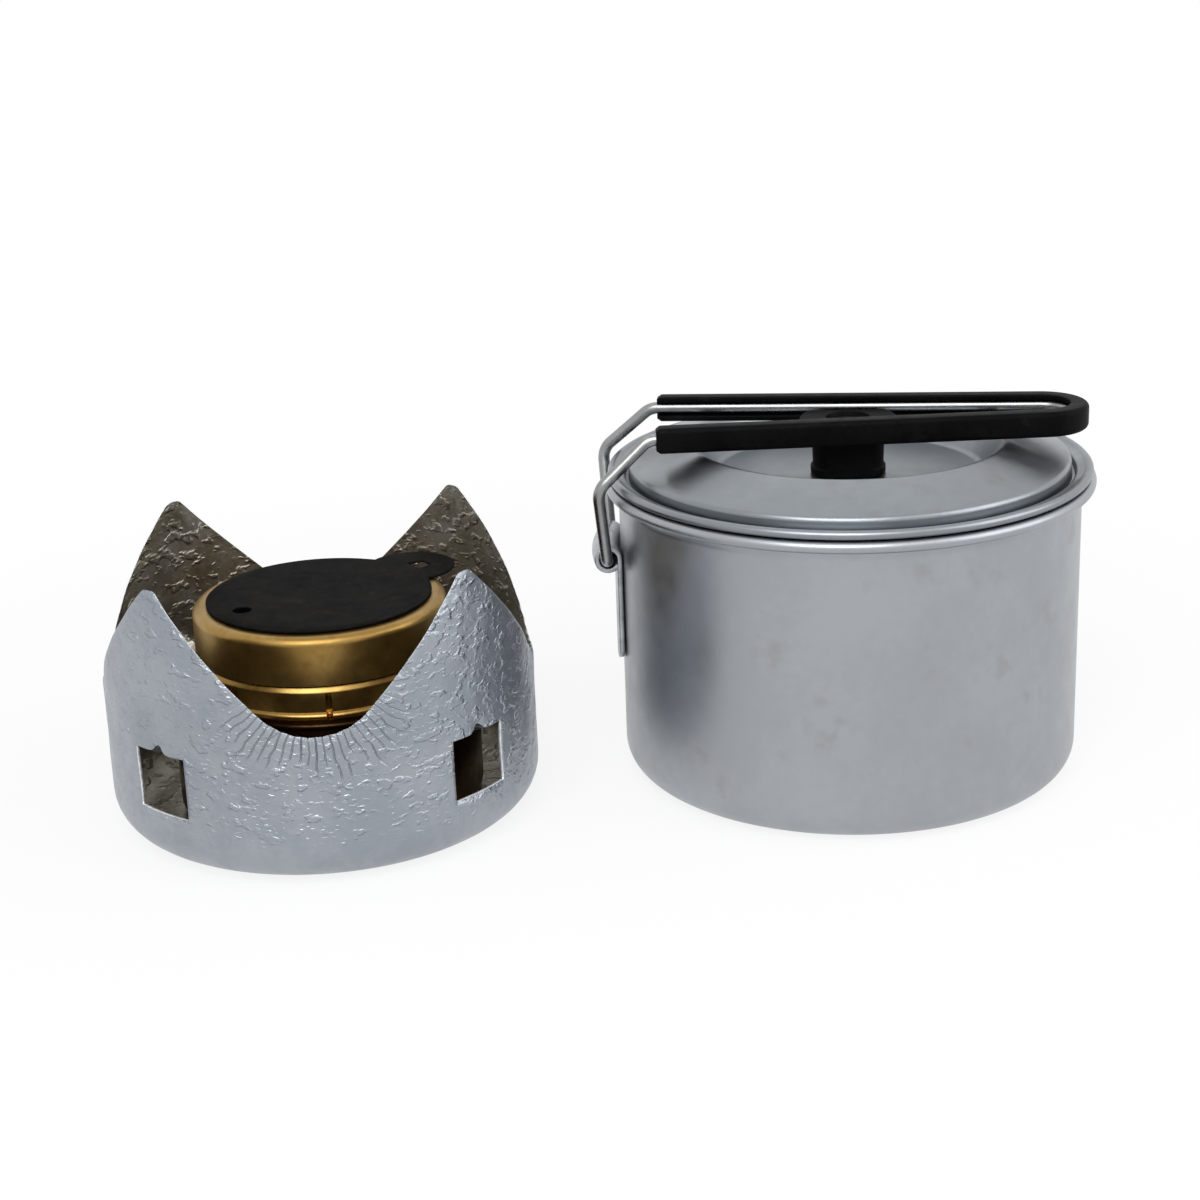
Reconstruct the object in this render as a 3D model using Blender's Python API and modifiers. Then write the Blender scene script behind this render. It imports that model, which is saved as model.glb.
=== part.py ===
"""Storm cooker: a spirit burner in a notched windshield, and a lidded pot beside it.

Metres, +Z up. The origin is the centre of the windshield's base, on the table.
The notches face +X, -X, +Y and -Y, and the pot stands on the +X side.
Sizes below are in millimetres; MM turns them into metres.
"""

import math

import bmesh
import bpy
from mathutils import Matrix, Vector

MM = 0.001

# Fits shared by all pieces
SEAT_GAP = 0.3
SLIP_GAP = 0.4
MERGE = 0.00001
WHOLE_TURN = 2 * math.pi

# Windshield: a drawn cup of thin sheet whose rim is cut into four spikes
SHIELD_RADIUS = 53.5
SHIELD_SHEET = 0.8
SHIELD_CORNER = 10.0
SPIKE_HEIGHT = 70.2
LEAN_START = 44.1
LEAN_RADIUS = 190.0
NOTCH_BOTTOM = 37.7
NOTCH_ROUND = 18.3
NOTCH_SLOPE = math.radians(45.0)
NOTCH_COUNT = 4
WINDOW_WIDTH = 16.7
WINDOW_SILL = 15.0
WINDOW_HEAD = 30.4
FLAP_LENGTH = 14.2
FLAP_SLOPE = math.radians(20.0)
FLAP_ROOT_BITE = 0.2
SHIELD_STEPS = 48

# Spirit burner: it stands loosely between the flaps, a little to the right
BURNER_SHIFT = 1.1
TANK_RADIUS = 38.2
TANK_HEIGHT = 28.9
TANK_CORNER = 4.0
BRASS_SHEET = 0.8
NECK_RADIUS = 28.0
NECK_RISE = 13.0
THREAD_DEPTH = 0.8
THREAD_PITCH = 3.0
THREAD_TURNS = 3
THREAD_TOP_DROP = 2.2
THREAD_SLACK = 0.7
SLEEVE_INSET = 6.5
SLEEVE_SHEET = 0.7
JET_COUNT = 16
JET_RADIUS = 0.6
JET_INSET = 3.4
WICK_THICK = 3.5
WICK_HEIGHT = 33.8
BURNER_STEPS = 32

# Screw cap with its sealing ring
SEAL_RADIUS = 0.85
SEAL_INSET = 1.6
CAP_WALL = 0.7
CAP_SIDE_OUT = 1.1
CAP_BEAD_OUT = 0.9
CAP_BEAD_HEIGHT = 1.8
CAP_TOP_THICK = 0.75
CAP_HEIGHT = 13.75
CAP_SHOULDER_DROP = 5.6
CAP_SHOULDER_STEP = 0.4
CAP_TOP_ROUND = 1.0
FLUTE_COUNT = 8
FLUTE_RADIUS = 0.9
FLUTE_DEPTH = 0.7
FLUTE_TOP_DROP = 7.6
FLUTE_TURN = math.radians(3.0)

# Simmer ring with its swinging plate
RING_HEIGHT = 12.1
RING_ROUND = 2.1
RING_LEDGE = 14.9
PLATE_INSET = 3.5
PLATE_THICK = 0.6
TAB_RADIUS = 11.3
TAB_X = 22.9
TAB_Y = 17.6
TAB_HOLE = ((22.1, 19.8), (25.1, 14.7), (28.2, 17.9), (26.1, 21.4))
PIVOT_INSET = 7.15
PIVOT_ANGLE = math.radians(206.93)
RIVET_SHANK = 1.5
RIVET_HEAD = 3.2
RIVET_HEAD_THICK = 0.9
RIVET_FLUSH_HEAD = 2.1
RIVET_FLUSH_DROP = 0.15
FRICTION_WASHER = 3.0
FRICTION_THICK = 0.5

# Pot: it stands beside the windshield
POT_X = 135.2
POT_Y = 5.9
POT_RADIUS = 57.9
POT_SHEET = 0.8
POT_CORNER = 7.25
POT_BEAD_OUT = 2.06
POT_BEAD_HEIGHT = 75.17
POT_BEAD_RADIUS = 1.42
POT_FLARE_DROP = 3.0
POT_STEPS = 44

# Lid: sunken floor, crest, sloping ring, locating groove and rolled edge
LID_SHEET = 0.8
LID_BEAD_INSET = 0.56
LID_BEAD_RADIUS = 1.15
LID_GROOVE_INSET = 2.5
LID_GROOVE_WIDTH = 0.9
LID_GROOVE_DIP = 1.0
LID_SLOPE = math.radians(19.0)
LID_CREST_REACH = 39.4
LID_CREST_RISE = 7.75
LID_FLOOR_REACH = 34.0
LID_FLOOR_DROP = 9.5

# Knob and what holds it
KNOB_FLANGE_RADIUS = 9.4
KNOB_FLANGE_HEIGHT = 1.7
KNOB_STEM_RADIUS = 8.9
KNOB_DISC_RADIUS = 12.15
KNOB_DISC_THICK = 2.6
KNOB_HEIGHT = 13.9
KNOB_DISH_RADIUS = 5.2
KNOB_DISH_DEPTH = 1.0
KNOB_HALF_WIDTH = 6.9
SCREW_RADIUS = 1.9
SCREW_HEAD_RADIUS = 3.6
SCREW_HEAD_THICK = 1.8
SCREW_GRIP = 7.2
WASHER_RADIUS = 5.0
WASHER_THICK = 0.8

# Handle: steel wire with a moulded grip, hinged in a rolled bracket
HANDLE_TURN = math.radians(-7.5)
HINGE_HEIGHT = 57.8
HINGE_INSET = 0.8
WIRE_RADIUS = 1.5
STUB_START = 7.3
LEG_SPREAD = 13.7
LEG_BEND = 2.4
BEND_OUT = 1.45
BEND_SPREAD = 19.6
BEND_HEIGHT = 78.3
WIRE_BEND = 5.0
GRIP_START = 47.8
GRIP_LEAD_IN = 1.9
GRIP_HALF_WIDTH = 18.5
GRIP_END_RADIUS = 11.6
GRIP_END_CENTRE = 48.0
GRIP_THICK = 4.6
GRIP_HEIGHT = 6.4
GRIP_OUTER_WALL = 0.9
GRIP_EDGE = 1.1
GRIP_RISE = 0.9
GRIP_DIMPLE_RADIUS = 1.4
GRIP_DIMPLE_DEPTH = 0.5
BRACKET_SHEET = 1.3
BRACKET_HALF_ANGLE = math.radians(10.8)
BRACKET_FOOT = 30.5
CURL_RADIUS = 3.5
CURL_STEPS = 8
BRACKET_STEPS = 8
BOLT_TURN = math.radians(5.6)
BOLT_HEIGHT = 41.0
BOLT_SHANK = 1.6
BOLT_HEAD = 3.2
BOLT_HEAD_THICK = 1.1
FLUSH_RECESS = 0.7
FLUSH_DROP = 0.1

# Worked out once, because several pieces share them
BURNER_CENTRE = Vector((BURNER_SHIFT, 0.0, 0.0))
POT_CENTRE = Vector((POT_X, POT_Y, 0.0))
SHIELD_INNER = SHIELD_RADIUS - SHIELD_SHEET
TANK_FOOT = SHIELD_SHEET + SEAT_GAP
TANK_TOP = TANK_FOOT + TANK_HEIGHT
TANK_FLOOR = TANK_FOOT + BRASS_SHEET
NECK_TOP = TANK_TOP + NECK_RISE
SLEEVE_RADIUS = NECK_RADIUS - SLEEVE_INSET
JET_REACH = NECK_RADIUS - JET_INSET
SEAL_REACH = NECK_RADIUS - SEAL_INSET
CAP_BORE = NECK_RADIUS + THREAD_DEPTH + THREAD_SLACK
CAP_TOP_RADIUS = CAP_BORE + CAP_WALL
CAP_SIDE_RADIUS = CAP_TOP_RADIUS + CAP_SIDE_OUT
CAP_BEAD_RADIUS = CAP_SIDE_RADIUS + CAP_BEAD_OUT
FLANGE_TOP = NECK_TOP + SEAT_GAP + BRASS_SHEET
SEAL_HEIGHT = FLANGE_TOP + SEAT_GAP + SEAL_RADIUS
CAP_CEILING = SEAL_HEIGHT + SEAL_RADIUS + SEAT_GAP
CAP_TOP = CAP_CEILING + CAP_TOP_THICK
CAP_FOOT = CAP_TOP - CAP_HEIGHT
CAP_SHOULDER = CAP_TOP - CAP_SHOULDER_DROP
RING_INNER = CAP_TOP_RADIUS + SLIP_GAP
RING_OUTER = RING_INNER + BRASS_SHEET
RING_OPENING = RING_OUTER - RING_LEDGE
PLATE_RADIUS = RING_OUTER - PLATE_INSET
PIVOT_REACH = PLATE_RADIUS - PIVOT_INSET
PIVOT = Vector((BURNER_SHIFT + PIVOT_REACH * math.cos(PIVOT_ANGLE),
                PIVOT_REACH * math.sin(PIVOT_ANGLE), 0.0))
RING_FOOT = CAP_SHOULDER + SEAT_GAP
RING_TOP = RING_FOOT + RING_HEIGHT
PLATE_FOOT = RING_TOP + SEAT_GAP
POT_BEAD_REACH = POT_RADIUS + POT_BEAD_OUT
LID_BEAD_REACH = POT_BEAD_REACH - LID_BEAD_INSET
LID_GROOVE_REACH = LID_BEAD_REACH - LID_GROOVE_INSET
LID_BEAD_RISE = math.sqrt((POT_BEAD_RADIUS + LID_BEAD_RADIUS + SEAT_GAP) ** 2
                          - (POT_BEAD_REACH - LID_BEAD_REACH) ** 2)
LID_BEAD_HEIGHT = POT_BEAD_HEIGHT + LID_BEAD_RISE
LID_CREST = LID_BEAD_HEIGHT + LID_CREST_RISE
LID_FLOOR = LID_CREST - LID_FLOOR_DROP
LID_HOLE = SCREW_RADIUS + SLIP_GAP
KNOB_FOOT = LID_FLOOR + SEAT_GAP
WASHER_TOP = LID_FLOOR - LID_SHEET - SEAT_GAP
SCREW_SEAT = WASHER_TOP - WASHER_THICK - SEAT_GAP
WIRE_INSET = GRIP_OUTER_WALL + SEAT_GAP + WIRE_RADIUS
GRIP_FOOT = LID_CREST + GRIP_RISE
WIRE_LEVEL = GRIP_FOOT + GRIP_HEIGHT / 2
CHANNEL_HALF = WIRE_RADIUS + SEAT_GAP
STRAP_INNER = POT_RADIUS + SEAT_GAP
STRAP_OUTER = STRAP_INNER + BRACKET_SHEET
CURL_REACH = STRAP_INNER + CURL_RADIUS
HINGE_REACH = CURL_REACH - HINGE_INSET
BEND_REACH = HINGE_REACH + BEND_OUT


def clear_scene():
    """Remove every object that the file opened with."""
    for obj in list(bpy.data.objects):
        bpy.data.objects.remove(obj, do_unlink=True)


def make_collection(name):
    """Add a collection to the scene."""
    group = bpy.data.collections.new(name)
    bpy.context.scene.collection.children.link(group)
    return group


def make_material(name, colour, roughness, metallic):
    """Make one Principled material."""
    material = bpy.data.materials.new(name)
    material.use_nodes = True
    shader = material.node_tree.nodes["Principled BSDF"]
    shader.inputs["Base Color"].default_value = (*colour, 1.0)
    shader.inputs["Roughness"].default_value = roughness
    shader.inputs["Metallic"].default_value = metallic
    return material


def dress(obj, material, crease=35.0):
    """Give a piece its material and smooth shading with sharp creases."""
    obj.data.materials.clear()
    obj.data.materials.append(material)
    obj.data.shade_smooth()
    if obj.data.polygons:
        obj.data.set_sharp_from_angle(angle=math.radians(crease))
    return obj


def new_object(name, mesh):
    """Put a mesh into the parts collection."""
    obj = bpy.data.objects.new(name, mesh)
    PARTS.objects.link(obj)
    return obj


def baked(obj):
    """Replace an object by a plain mesh of what it evaluates to, in world space."""
    bpy.context.view_layer.update()
    name = obj.name
    graph = bpy.context.evaluated_depsgraph_get()
    mesh = bpy.data.meshes.new_from_object(obj.evaluated_get(graph))
    mesh.transform(obj.matrix_world)
    bpy.data.objects.remove(obj, do_unlink=True)
    edit = bmesh.new()
    edit.from_mesh(mesh)
    bmesh.ops.remove_doubles(edit, verts=edit.verts, dist=MERGE)
    bmesh.ops.recalc_face_normals(edit, faces=edit.faces)
    edit.to_mesh(mesh)
    edit.free()
    return new_object(name, mesh)


def arc(centre_r, centre_z, radius, start_deg, end_deg, steps):
    """Points on an arc in the (radius, height) plane, both ends included."""
    points = []
    for i in range(steps + 1):
        angle = math.radians(start_deg + (end_deg - start_deg) * i / steps)
        points.append((centre_r + radius * math.cos(angle), centre_z + radius * math.sin(angle)))
    return points


def rounded(corners, steps=4):
    """Turn (coordinates, bend radius) corners into points, with an arc at each bent corner."""
    flat = [Vector(corner[:-1]) for corner in corners]
    points = [flat[0]]
    for i in range(1, len(flat) - 1):
        radius = corners[i][-1]
        if radius <= 0.0:
            points.append(flat[i])
            continue
        back = (flat[i - 1] - flat[i]).normalized()
        ahead = (flat[i + 1] - flat[i]).normalized()
        half = back.angle(ahead) / 2
        centre = flat[i] + (back + ahead).normalized() * (radius / math.sin(half))
        setback = radius / math.tan(half)
        first = flat[i] + back * setback - centre
        last = flat[i] + ahead * setback - centre
        sweep = math.pi - 2 * half
        across = (last - first * math.cos(sweep)) / math.sin(sweep)
        for k in range(steps + 1):
            turn = sweep * k / steps
            points.append(centre + first * math.cos(turn) + across * math.sin(turn))
    points.append(flat[-1])
    return [tuple(point) for point in points]


def other_side(corners, sheet):
    """The corners of a sheet's right-hand face, for a line drawn along its left-hand face."""
    flat = [Vector(corner[:-1]) for corner in corners]
    ways = [(b - a).normalized() for a, b in zip(flat, flat[1:])]
    right = [Vector((way.y, -way.x)) for way in ways]
    moved = [(*(flat[0] + right[0] * sheet), 0.0)]
    for i in range(1, len(flat) - 1):
        mitre = (right[i - 1] + right[i]) / (1.0 + right[i - 1].dot(right[i]))
        bend = ways[i - 1].x * ways[i].y - ways[i - 1].y * ways[i].x
        radius = corners[i][-1] + math.copysign(sheet, bend)
        moved.append((*(flat[i] + mitre * sheet), max(radius, 0.1)))
    moved.append((*(flat[-1] + right[-1] * sheet), 0.0))
    return moved


def turned(name, profile, steps, centre, closed=False, angle=WHOLE_TURN, start=0.0):
    """Turn a profile of (radius, height) points about the vertical line through centre.

    The profile runs down its outer side. It starts and ends on the axis, or is a closed loop.
    """
    mesh = bpy.data.meshes.new(name)
    points = [(r * MM * math.cos(start), r * MM * math.sin(start), z * MM) for r, z in profile]
    edges = [(i, i + 1) for i in range(len(points) - 1)]
    if closed:
        edges.append((len(points) - 1, 0))
    mesh.from_pydata(points, edges, [])
    obj = new_object(name, mesh)
    screw = obj.modifiers.new("turn", "SCREW")
    screw.axis = "Z"
    screw.angle = angle
    screw.steps = steps
    screw.render_steps = steps
    screw.use_merge_vertices = True
    screw.merge_threshold = MERGE
    screw.use_smooth_shade = True
    obj.location = centre * MM
    return obj


def prism(name, outline, low, high):
    """Extrude a flat outline of (x, y) points from one height to another."""
    curve = bpy.data.curves.new(name, "CURVE")
    curve.dimensions = "2D"
    curve.fill_mode = "BOTH"
    curve.extrude = (high - low) * MM / 2
    spline = curve.splines.new("POLY")
    spline.points.add(len(outline) - 1)
    for point, (x, y) in zip(spline.points, outline):
        point.co = (x * MM, y * MM, 0.0, 1.0)
    spline.use_cyclic_u = True
    obj = bpy.data.objects.new(name, curve)
    PARTS.objects.link(obj)
    obj.location = (0.0, 0.0, (low + high) * MM / 2)
    return baked(obj)


def cylinder(name, radius, low, high, x, y, sides):
    """A plain upright cylinder."""
    mesh = bpy.data.meshes.new(name)
    edit = bmesh.new()
    bmesh.ops.create_cone(edit, cap_ends=True, segments=sides, radius1=radius * MM,
                          radius2=radius * MM, depth=(high - low) * MM)
    edit.to_mesh(mesh)
    edit.free()
    mesh.transform(Matrix.Translation((x * MM, y * MM, (low + high) * MM / 2)))
    return new_object(name, mesh)


def block(name, low, high):
    """A plain box between two corners."""
    mesh = bpy.data.meshes.new(name)
    edit = bmesh.new()
    bmesh.ops.create_cube(edit, size=1.0)
    edit.to_mesh(mesh)
    edit.free()
    size = [(b - a) * MM for a, b in zip(low, high)]
    middle = [(a + b) * MM / 2 for a, b in zip(low, high)]
    mesh.transform(Matrix.Translation(middle) @ Matrix.Diagonal((*size, 1.0)))
    return new_object(name, mesh)


def combine(target, tool, operation):
    """Add an exact Boolean to a piece, and hide its tool among the cutters."""
    for old in list(tool.users_collection):
        old.objects.unlink(tool)
    CUTTERS.objects.link(tool)
    tool.hide_render = True
    tool.display_type = "WIRE"
    change = target.modifiers.new(tool.name, "BOOLEAN")
    change.object = tool
    change.operation = operation
    change.solver = "EXACT"


def joined(name, objects):
    """Join plain meshes that don't touch into one tool."""
    edit = bmesh.new()
    for obj in objects:
        edit.from_mesh(obj.data)
        bpy.data.objects.remove(obj, do_unlink=True)
    mesh = bpy.data.meshes.new(name)
    edit.to_mesh(mesh)
    edit.free()
    return new_object(name, mesh)


def shift_origin(obj, point):
    """Put a piece's origin on its joint's axis without moving the piece."""
    bpy.context.view_layer.update()
    world = obj.matrix_world.copy()
    target = point * MM
    obj.data.transform(Matrix.Translation(-target) @ world)
    obj.matrix_world = Matrix.Translation(target)


def to_pot_side(obj, azimuth, height):
    """Lay an upright piece down so that its top points out of the pot's wall."""
    obj.data.transform(Matrix.Translation(Vector((POT_X, POT_Y, height)) * MM)
                       @ Matrix.Rotation(azimuth, 4, "Z") @ Matrix.Rotation(math.pi / 2, 4, "Y"))
    return obj


def handle_point(along, across, height):
    """A point in the handle's own frame: along it from the pot's axis, across it, and up."""
    return POT_CENTRE + Matrix.Rotation(HANDLE_TURN, 3, "Z") @ Vector((along, across, height))


def to_handle_frame(obj):
    """Turn and move a piece drawn about the origin into the handle's frame."""
    obj.data.transform(Matrix.Translation(POT_CENTRE * MM) @ Matrix.Rotation(HANDLE_TURN, 4, "Z"))
    return obj


def grip_side(inset, start, steps=8):
    """Half of the grip's tapering U, moved inward by inset, from the open end to the tip."""
    half, radius = GRIP_HALF_WIDTH - inset, GRIP_END_RADIUS - inset
    run = GRIP_START + GRIP_END_CENTRE
    taper = math.acos(radius / math.hypot(run, half)) - math.atan2(run, half)
    points = [(-start, half + (start - GRIP_START) * math.tan(taper))]
    for i in range(steps + 1):
        angle = (math.pi / 2 - taper) * (1 - i / steps)
        points.append((GRIP_END_CENTRE + radius * math.cos(angle), radius * math.sin(angle)))
    return points


def grip_outline(inset, start):
    """The whole tapering U, from one open end round the tip to the other."""
    side = grip_side(inset, start)
    return [(x, -y) for x, y in side[:-1]] + side[::-1]


def shield_radius_at(height):
    """Outer radius of the windshield at a height: upright, then leaning in along an arc."""
    rise = max(0.0, height - LEAN_START)
    return SHIELD_RADIUS - (LEAN_RADIUS - math.sqrt(LEAN_RADIUS ** 2 - rise ** 2))


def notch_height(along):
    """Height of a notch's edge at a distance along the wall from its lowest point."""
    reach = NOTCH_ROUND * math.sin(NOTCH_SLOPE)
    if abs(along) <= reach:
        return NOTCH_BOTTOM + NOTCH_ROUND - math.sqrt(NOTCH_ROUND ** 2 - along ** 2)
    return notch_height(reach) + (abs(along) - reach) * math.tan(NOTCH_SLOPE)


def notch_outline():
    """A notch seen from the front, laid out so that it has its shape on the curved wall."""
    reach = NOTCH_ROUND * math.sin(NOTCH_SLOPE)
    rest = SPIKE_HEIGHT + 1.5 - notch_height(reach)
    side = [reach * i / 6 for i in range(7)] + [reach + rest * i / 5 for i in range(1, 6)]
    right = []
    for along in side:
        height = notch_height(along)
        right.append((shield_radius_at(height) * math.sin(along / SHIELD_RADIUS), height))
    return [(-x, z) for x, z in reversed(right[1:])] + right


def make_windshield():
    """Drawn cup with four notches, four windows and the flaps bent in from them."""
    top = [(shield_radius_at(z), z) for z in (SPIKE_HEIGHT, 62.0, 53.5)]
    low = [(SHIELD_RADIUS, LEAN_START, 0.0), (SHIELD_RADIUS, 0.0, SHIELD_CORNER), (0.0, 0.0, 0.0)]
    low_inner = [(SHIELD_INNER, LEAN_START, 0.0),
                 (SHIELD_INNER, SHIELD_SHEET, SHIELD_CORNER - SHIELD_SHEET), (0.0, SHIELD_SHEET, 0.0)]
    outer = top + rounded(low, 5)
    inner = [(r - SHIELD_SHEET, z) for r, z in top] + rounded(low_inner, 5)
    shield = turned("windshield", inner[::-1] + outer, SHIELD_STEPS, Vector((0, 0, 0)))
    quarter = WHOLE_TURN / NOTCH_COUNT
    outline = notch_outline()
    for i in range(2):
        cutter = prism(f"notch_{i}", outline, -SHIELD_RADIUS - 4.0, SHIELD_RADIUS + 4.0)
        cutter.data.transform(Matrix.Rotation(quarter * i, 4, "Z")
                              @ Matrix.Rotation(math.pi / 2, 4, "X"))
        combine(shield, cutter, "DIFFERENCE")
    for i in range(NOTCH_COUNT):
        turn = Matrix.Rotation(quarter * (i + 0.5), 4, "Z")
        window = block(f"window_{i}", (SHIELD_INNER - 6.0, -WINDOW_WIDTH / 2, WINDOW_SILL),
                       (SHIELD_RADIUS + 4.0, WINDOW_WIDTH / 2, WINDOW_HEAD))
        window.data.transform(turn)
        combine(shield, window, "DIFFERENCE")
        half_flap = WINDOW_WIDTH / 2 - SEAT_GAP
        flap = block(f"flap_{i}", (-FLAP_LENGTH, -half_flap, -SHIELD_SHEET / 2),
                     (0.0, half_flap, SHIELD_SHEET / 2))
        root = Vector((SHIELD_INNER + FLAP_ROOT_BITE, 0.0, WINDOW_HEAD)) * MM
        flap.data.transform(turn @ Matrix.Translation(root) @ Matrix.Rotation(-FLAP_SLOPE, 4, "Y"))
        combine(shield, flap, "UNION")
    return dress(shield, ALUMINIUM_SHEET)


def thread_ridges():
    """Ridges of the neck's thread, from the top down."""
    points = []
    crest = NECK_RADIUS + THREAD_DEPTH
    for i in range(THREAD_TURNS):
        z = NECK_TOP - THREAD_TOP_DROP - THREAD_PITCH * i
        points += [(NECK_RADIUS, z + 0.9), (crest, z + 0.25), (crest, z - 0.25), (NECK_RADIUS, z - 0.9)]
    return points


def make_burner_tank():
    """Brass tank with rounded edges and a threaded, open neck."""
    corners = [(NECK_RADIUS, NECK_TOP, 0.0), (NECK_RADIUS, TANK_TOP, 0.8),
               (TANK_RADIUS, TANK_TOP, TANK_CORNER), (TANK_RADIUS, TANK_FOOT, TANK_CORNER),
               (0.0, TANK_FOOT, 0.0)]
    outer = rounded(corners, 3)
    inner = rounded(other_side(corners, BRASS_SHEET), 3)
    profile = inner[::-1] + outer[:1] + thread_ridges() + outer[1:]
    return dress(turned("burner_tank", profile, BURNER_STEPS, BURNER_CENTRE), BRASS)


def make_burner_sleeve():
    """Inner sleeve of the burner with its flange of gas jets."""
    bore = SLEEVE_RADIUS - SLEEVE_SHEET
    foot = TANK_FLOOR + SEAT_GAP
    low = FLANGE_TOP - BRASS_SHEET
    profile = [(NECK_RADIUS, FLANGE_TOP), (NECK_RADIUS, low), (SLEEVE_RADIUS, low),
               (SLEEVE_RADIUS, foot), (bore, foot), (bore, FLANGE_TOP)]
    sleeve = turned("burner_sleeve", profile, BURNER_STEPS, BURNER_CENTRE, closed=True)
    jets = []
    for i in range(JET_COUNT):
        angle = WHOLE_TURN * (i + 0.5) / JET_COUNT
        jets.append(cylinder(f"jet_{i}", JET_RADIUS, low - 1.0, FLANGE_TOP + 1.0,
                             BURNER_SHIFT + JET_REACH * math.cos(angle),
                             JET_REACH * math.sin(angle), 6))
    combine(sleeve, joined("jets", jets), "DIFFERENCE")
    return dress(sleeve, BRASS)


def make_burner_wick():
    """Ring of absorbent wick between the tank's neck and the sleeve."""
    inner = SLEEVE_RADIUS + SLIP_GAP
    outer = inner + WICK_THICK
    foot = TANK_FLOOR + SEAT_GAP
    top = foot + WICK_HEIGHT
    profile = [(outer, top), (outer, foot), (inner, foot), (inner, top)]
    return dress(turned("burner_wick", profile, BURNER_STEPS, BURNER_CENTRE, closed=True), WICK)


def make_cap_seal():
    """Rubber ring between the burner and its cap."""
    profile = arc(SEAL_REACH, SEAL_HEIGHT, SEAL_RADIUS, 180, -135, 7)
    return dress(turned("cap_seal", profile, BURNER_STEPS, BURNER_CENTRE, closed=True), RUBBER)


def make_burner_cap():
    """Screw cap: flat top, rounded shoulder, fluted side and a bead at its foot."""
    bead = CAP_BEAD_HEIGHT / 2
    profile = [(0.0, CAP_TOP)]
    profile += arc(CAP_TOP_RADIUS - CAP_TOP_ROUND, CAP_TOP - CAP_TOP_ROUND, CAP_TOP_ROUND, 90, 0, 3)
    profile += [(CAP_TOP_RADIUS, CAP_SHOULDER + 0.1),
                (CAP_TOP_RADIUS + CAP_SHOULDER_STEP, CAP_SHOULDER - 0.1),
                (CAP_SIDE_RADIUS - 0.25, CAP_SHOULDER - 0.65), (CAP_SIDE_RADIUS, CAP_SHOULDER - 1.4),
                (CAP_SIDE_RADIUS, CAP_FOOT + CAP_BEAD_HEIGHT + 0.1)]
    profile += arc(CAP_BEAD_RADIUS - bead, CAP_FOOT + bead, bead, 60, -90, 4)
    profile += [(CAP_BORE, CAP_FOOT), (CAP_BORE, CAP_CEILING), (0.0, CAP_CEILING)]
    cap = turned("burner_cap", profile, BURNER_STEPS, BURNER_CENTRE)
    reach = CAP_SIDE_RADIUS - FLUTE_DEPTH + FLUTE_RADIUS
    flutes = []
    for i in range(FLUTE_COUNT):
        angle = WHOLE_TURN * i / FLUTE_COUNT - math.pi / 2 + FLUTE_TURN
        flutes.append(cylinder(f"flute_{i}", FLUTE_RADIUS, CAP_FOOT - 1.0, CAP_TOP - FLUTE_TOP_DROP,
                               BURNER_SHIFT + reach * math.cos(angle), reach * math.sin(angle), 8))
    combine(cap, joined("flutes", flutes), "DIFFERENCE")
    return dress(cap, BRASS)


def make_simmer_ring():
    """Brass ring that sits over the cap's top and carries the plate."""
    corners = [(RING_OPENING, RING_TOP, 0.0), (RING_OUTER, RING_TOP, RING_ROUND),
               (RING_OUTER, RING_FOOT, 0.0)]
    profile = rounded(corners, 5) + rounded(other_side(corners, BRASS_SHEET), 5)[::-1]
    ring = turned("simmer_ring", profile, BURNER_STEPS, BURNER_CENTRE, closed=True)
    combine(ring, cylinder("rivet_hole", RIVET_SHANK + SLIP_GAP, RING_TOP - 3.0, RING_TOP + 2.0,
                           PIVOT.x, PIVOT.y, 16), "DIFFERENCE")
    return dress(ring, BRASS)


def make_simmer_plate():
    """Round plate with a finger tab, turning about the rivet."""
    top = PLATE_FOOT + PLATE_THICK
    plate = cylinder("simmer_plate", PLATE_RADIUS, PLATE_FOOT, top, BURNER_SHIFT, 0.0, 64)
    combine(plate, cylinder("tab", TAB_RADIUS, PLATE_FOOT, top, BURNER_SHIFT + TAB_X, TAB_Y, 40), "UNION")
    outline = [(BURNER_SHIFT + x, y) for x, y in TAB_HOLE]
    combine(plate, prism("tab_hole", outline, PLATE_FOOT - 1.0, top + 1.0), "DIFFERENCE")
    combine(plate, cylinder("plate_pivot_hole", RIVET_FLUSH_HEAD + SEAT_GAP, PLATE_FOOT - 1.0, top + 1.0,
                            PIVOT.x, PIVOT.y, 20), "DIFFERENCE")
    shift_origin(plate, PIVOT + Vector((0.0, 0.0, PLATE_FOOT)))
    return dress(plate, BLACK_STEEL)


def make_simmer_washer():
    """Friction washer between the ring's flange and the rivet's lower head."""
    top = RING_TOP - BRASS_SHEET - SEAT_GAP
    hole = RIVET_SHANK + SEAT_GAP
    profile = [(FRICTION_WASHER, top), (FRICTION_WASHER, top - FRICTION_THICK),
               (hole, top - FRICTION_THICK), (hole, top)]
    return dress(turned("simmer_washer", profile, 20, PIVOT, closed=True), STEEL)


def make_simmer_rivet():
    """Pivot rivet: its wide head is below the washer, its flush head inside the plate."""
    under = RING_TOP - BRASS_SHEET - FRICTION_THICK - 2 * SEAT_GAP
    flush = PLATE_FOOT + PLATE_THICK - RIVET_FLUSH_DROP
    profile = [(0.0, flush), (RIVET_FLUSH_HEAD, flush), (RIVET_FLUSH_HEAD, PLATE_FOOT),
               (RIVET_SHANK, PLATE_FOOT), (RIVET_SHANK, under), (RIVET_HEAD, under),
               (RIVET_HEAD - 0.5, under - RIVET_HEAD_THICK), (0.0, under - RIVET_HEAD_THICK)]
    return dress(turned("simmer_rivet", profile, 20, PIVOT), BLACK_STEEL)


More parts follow.
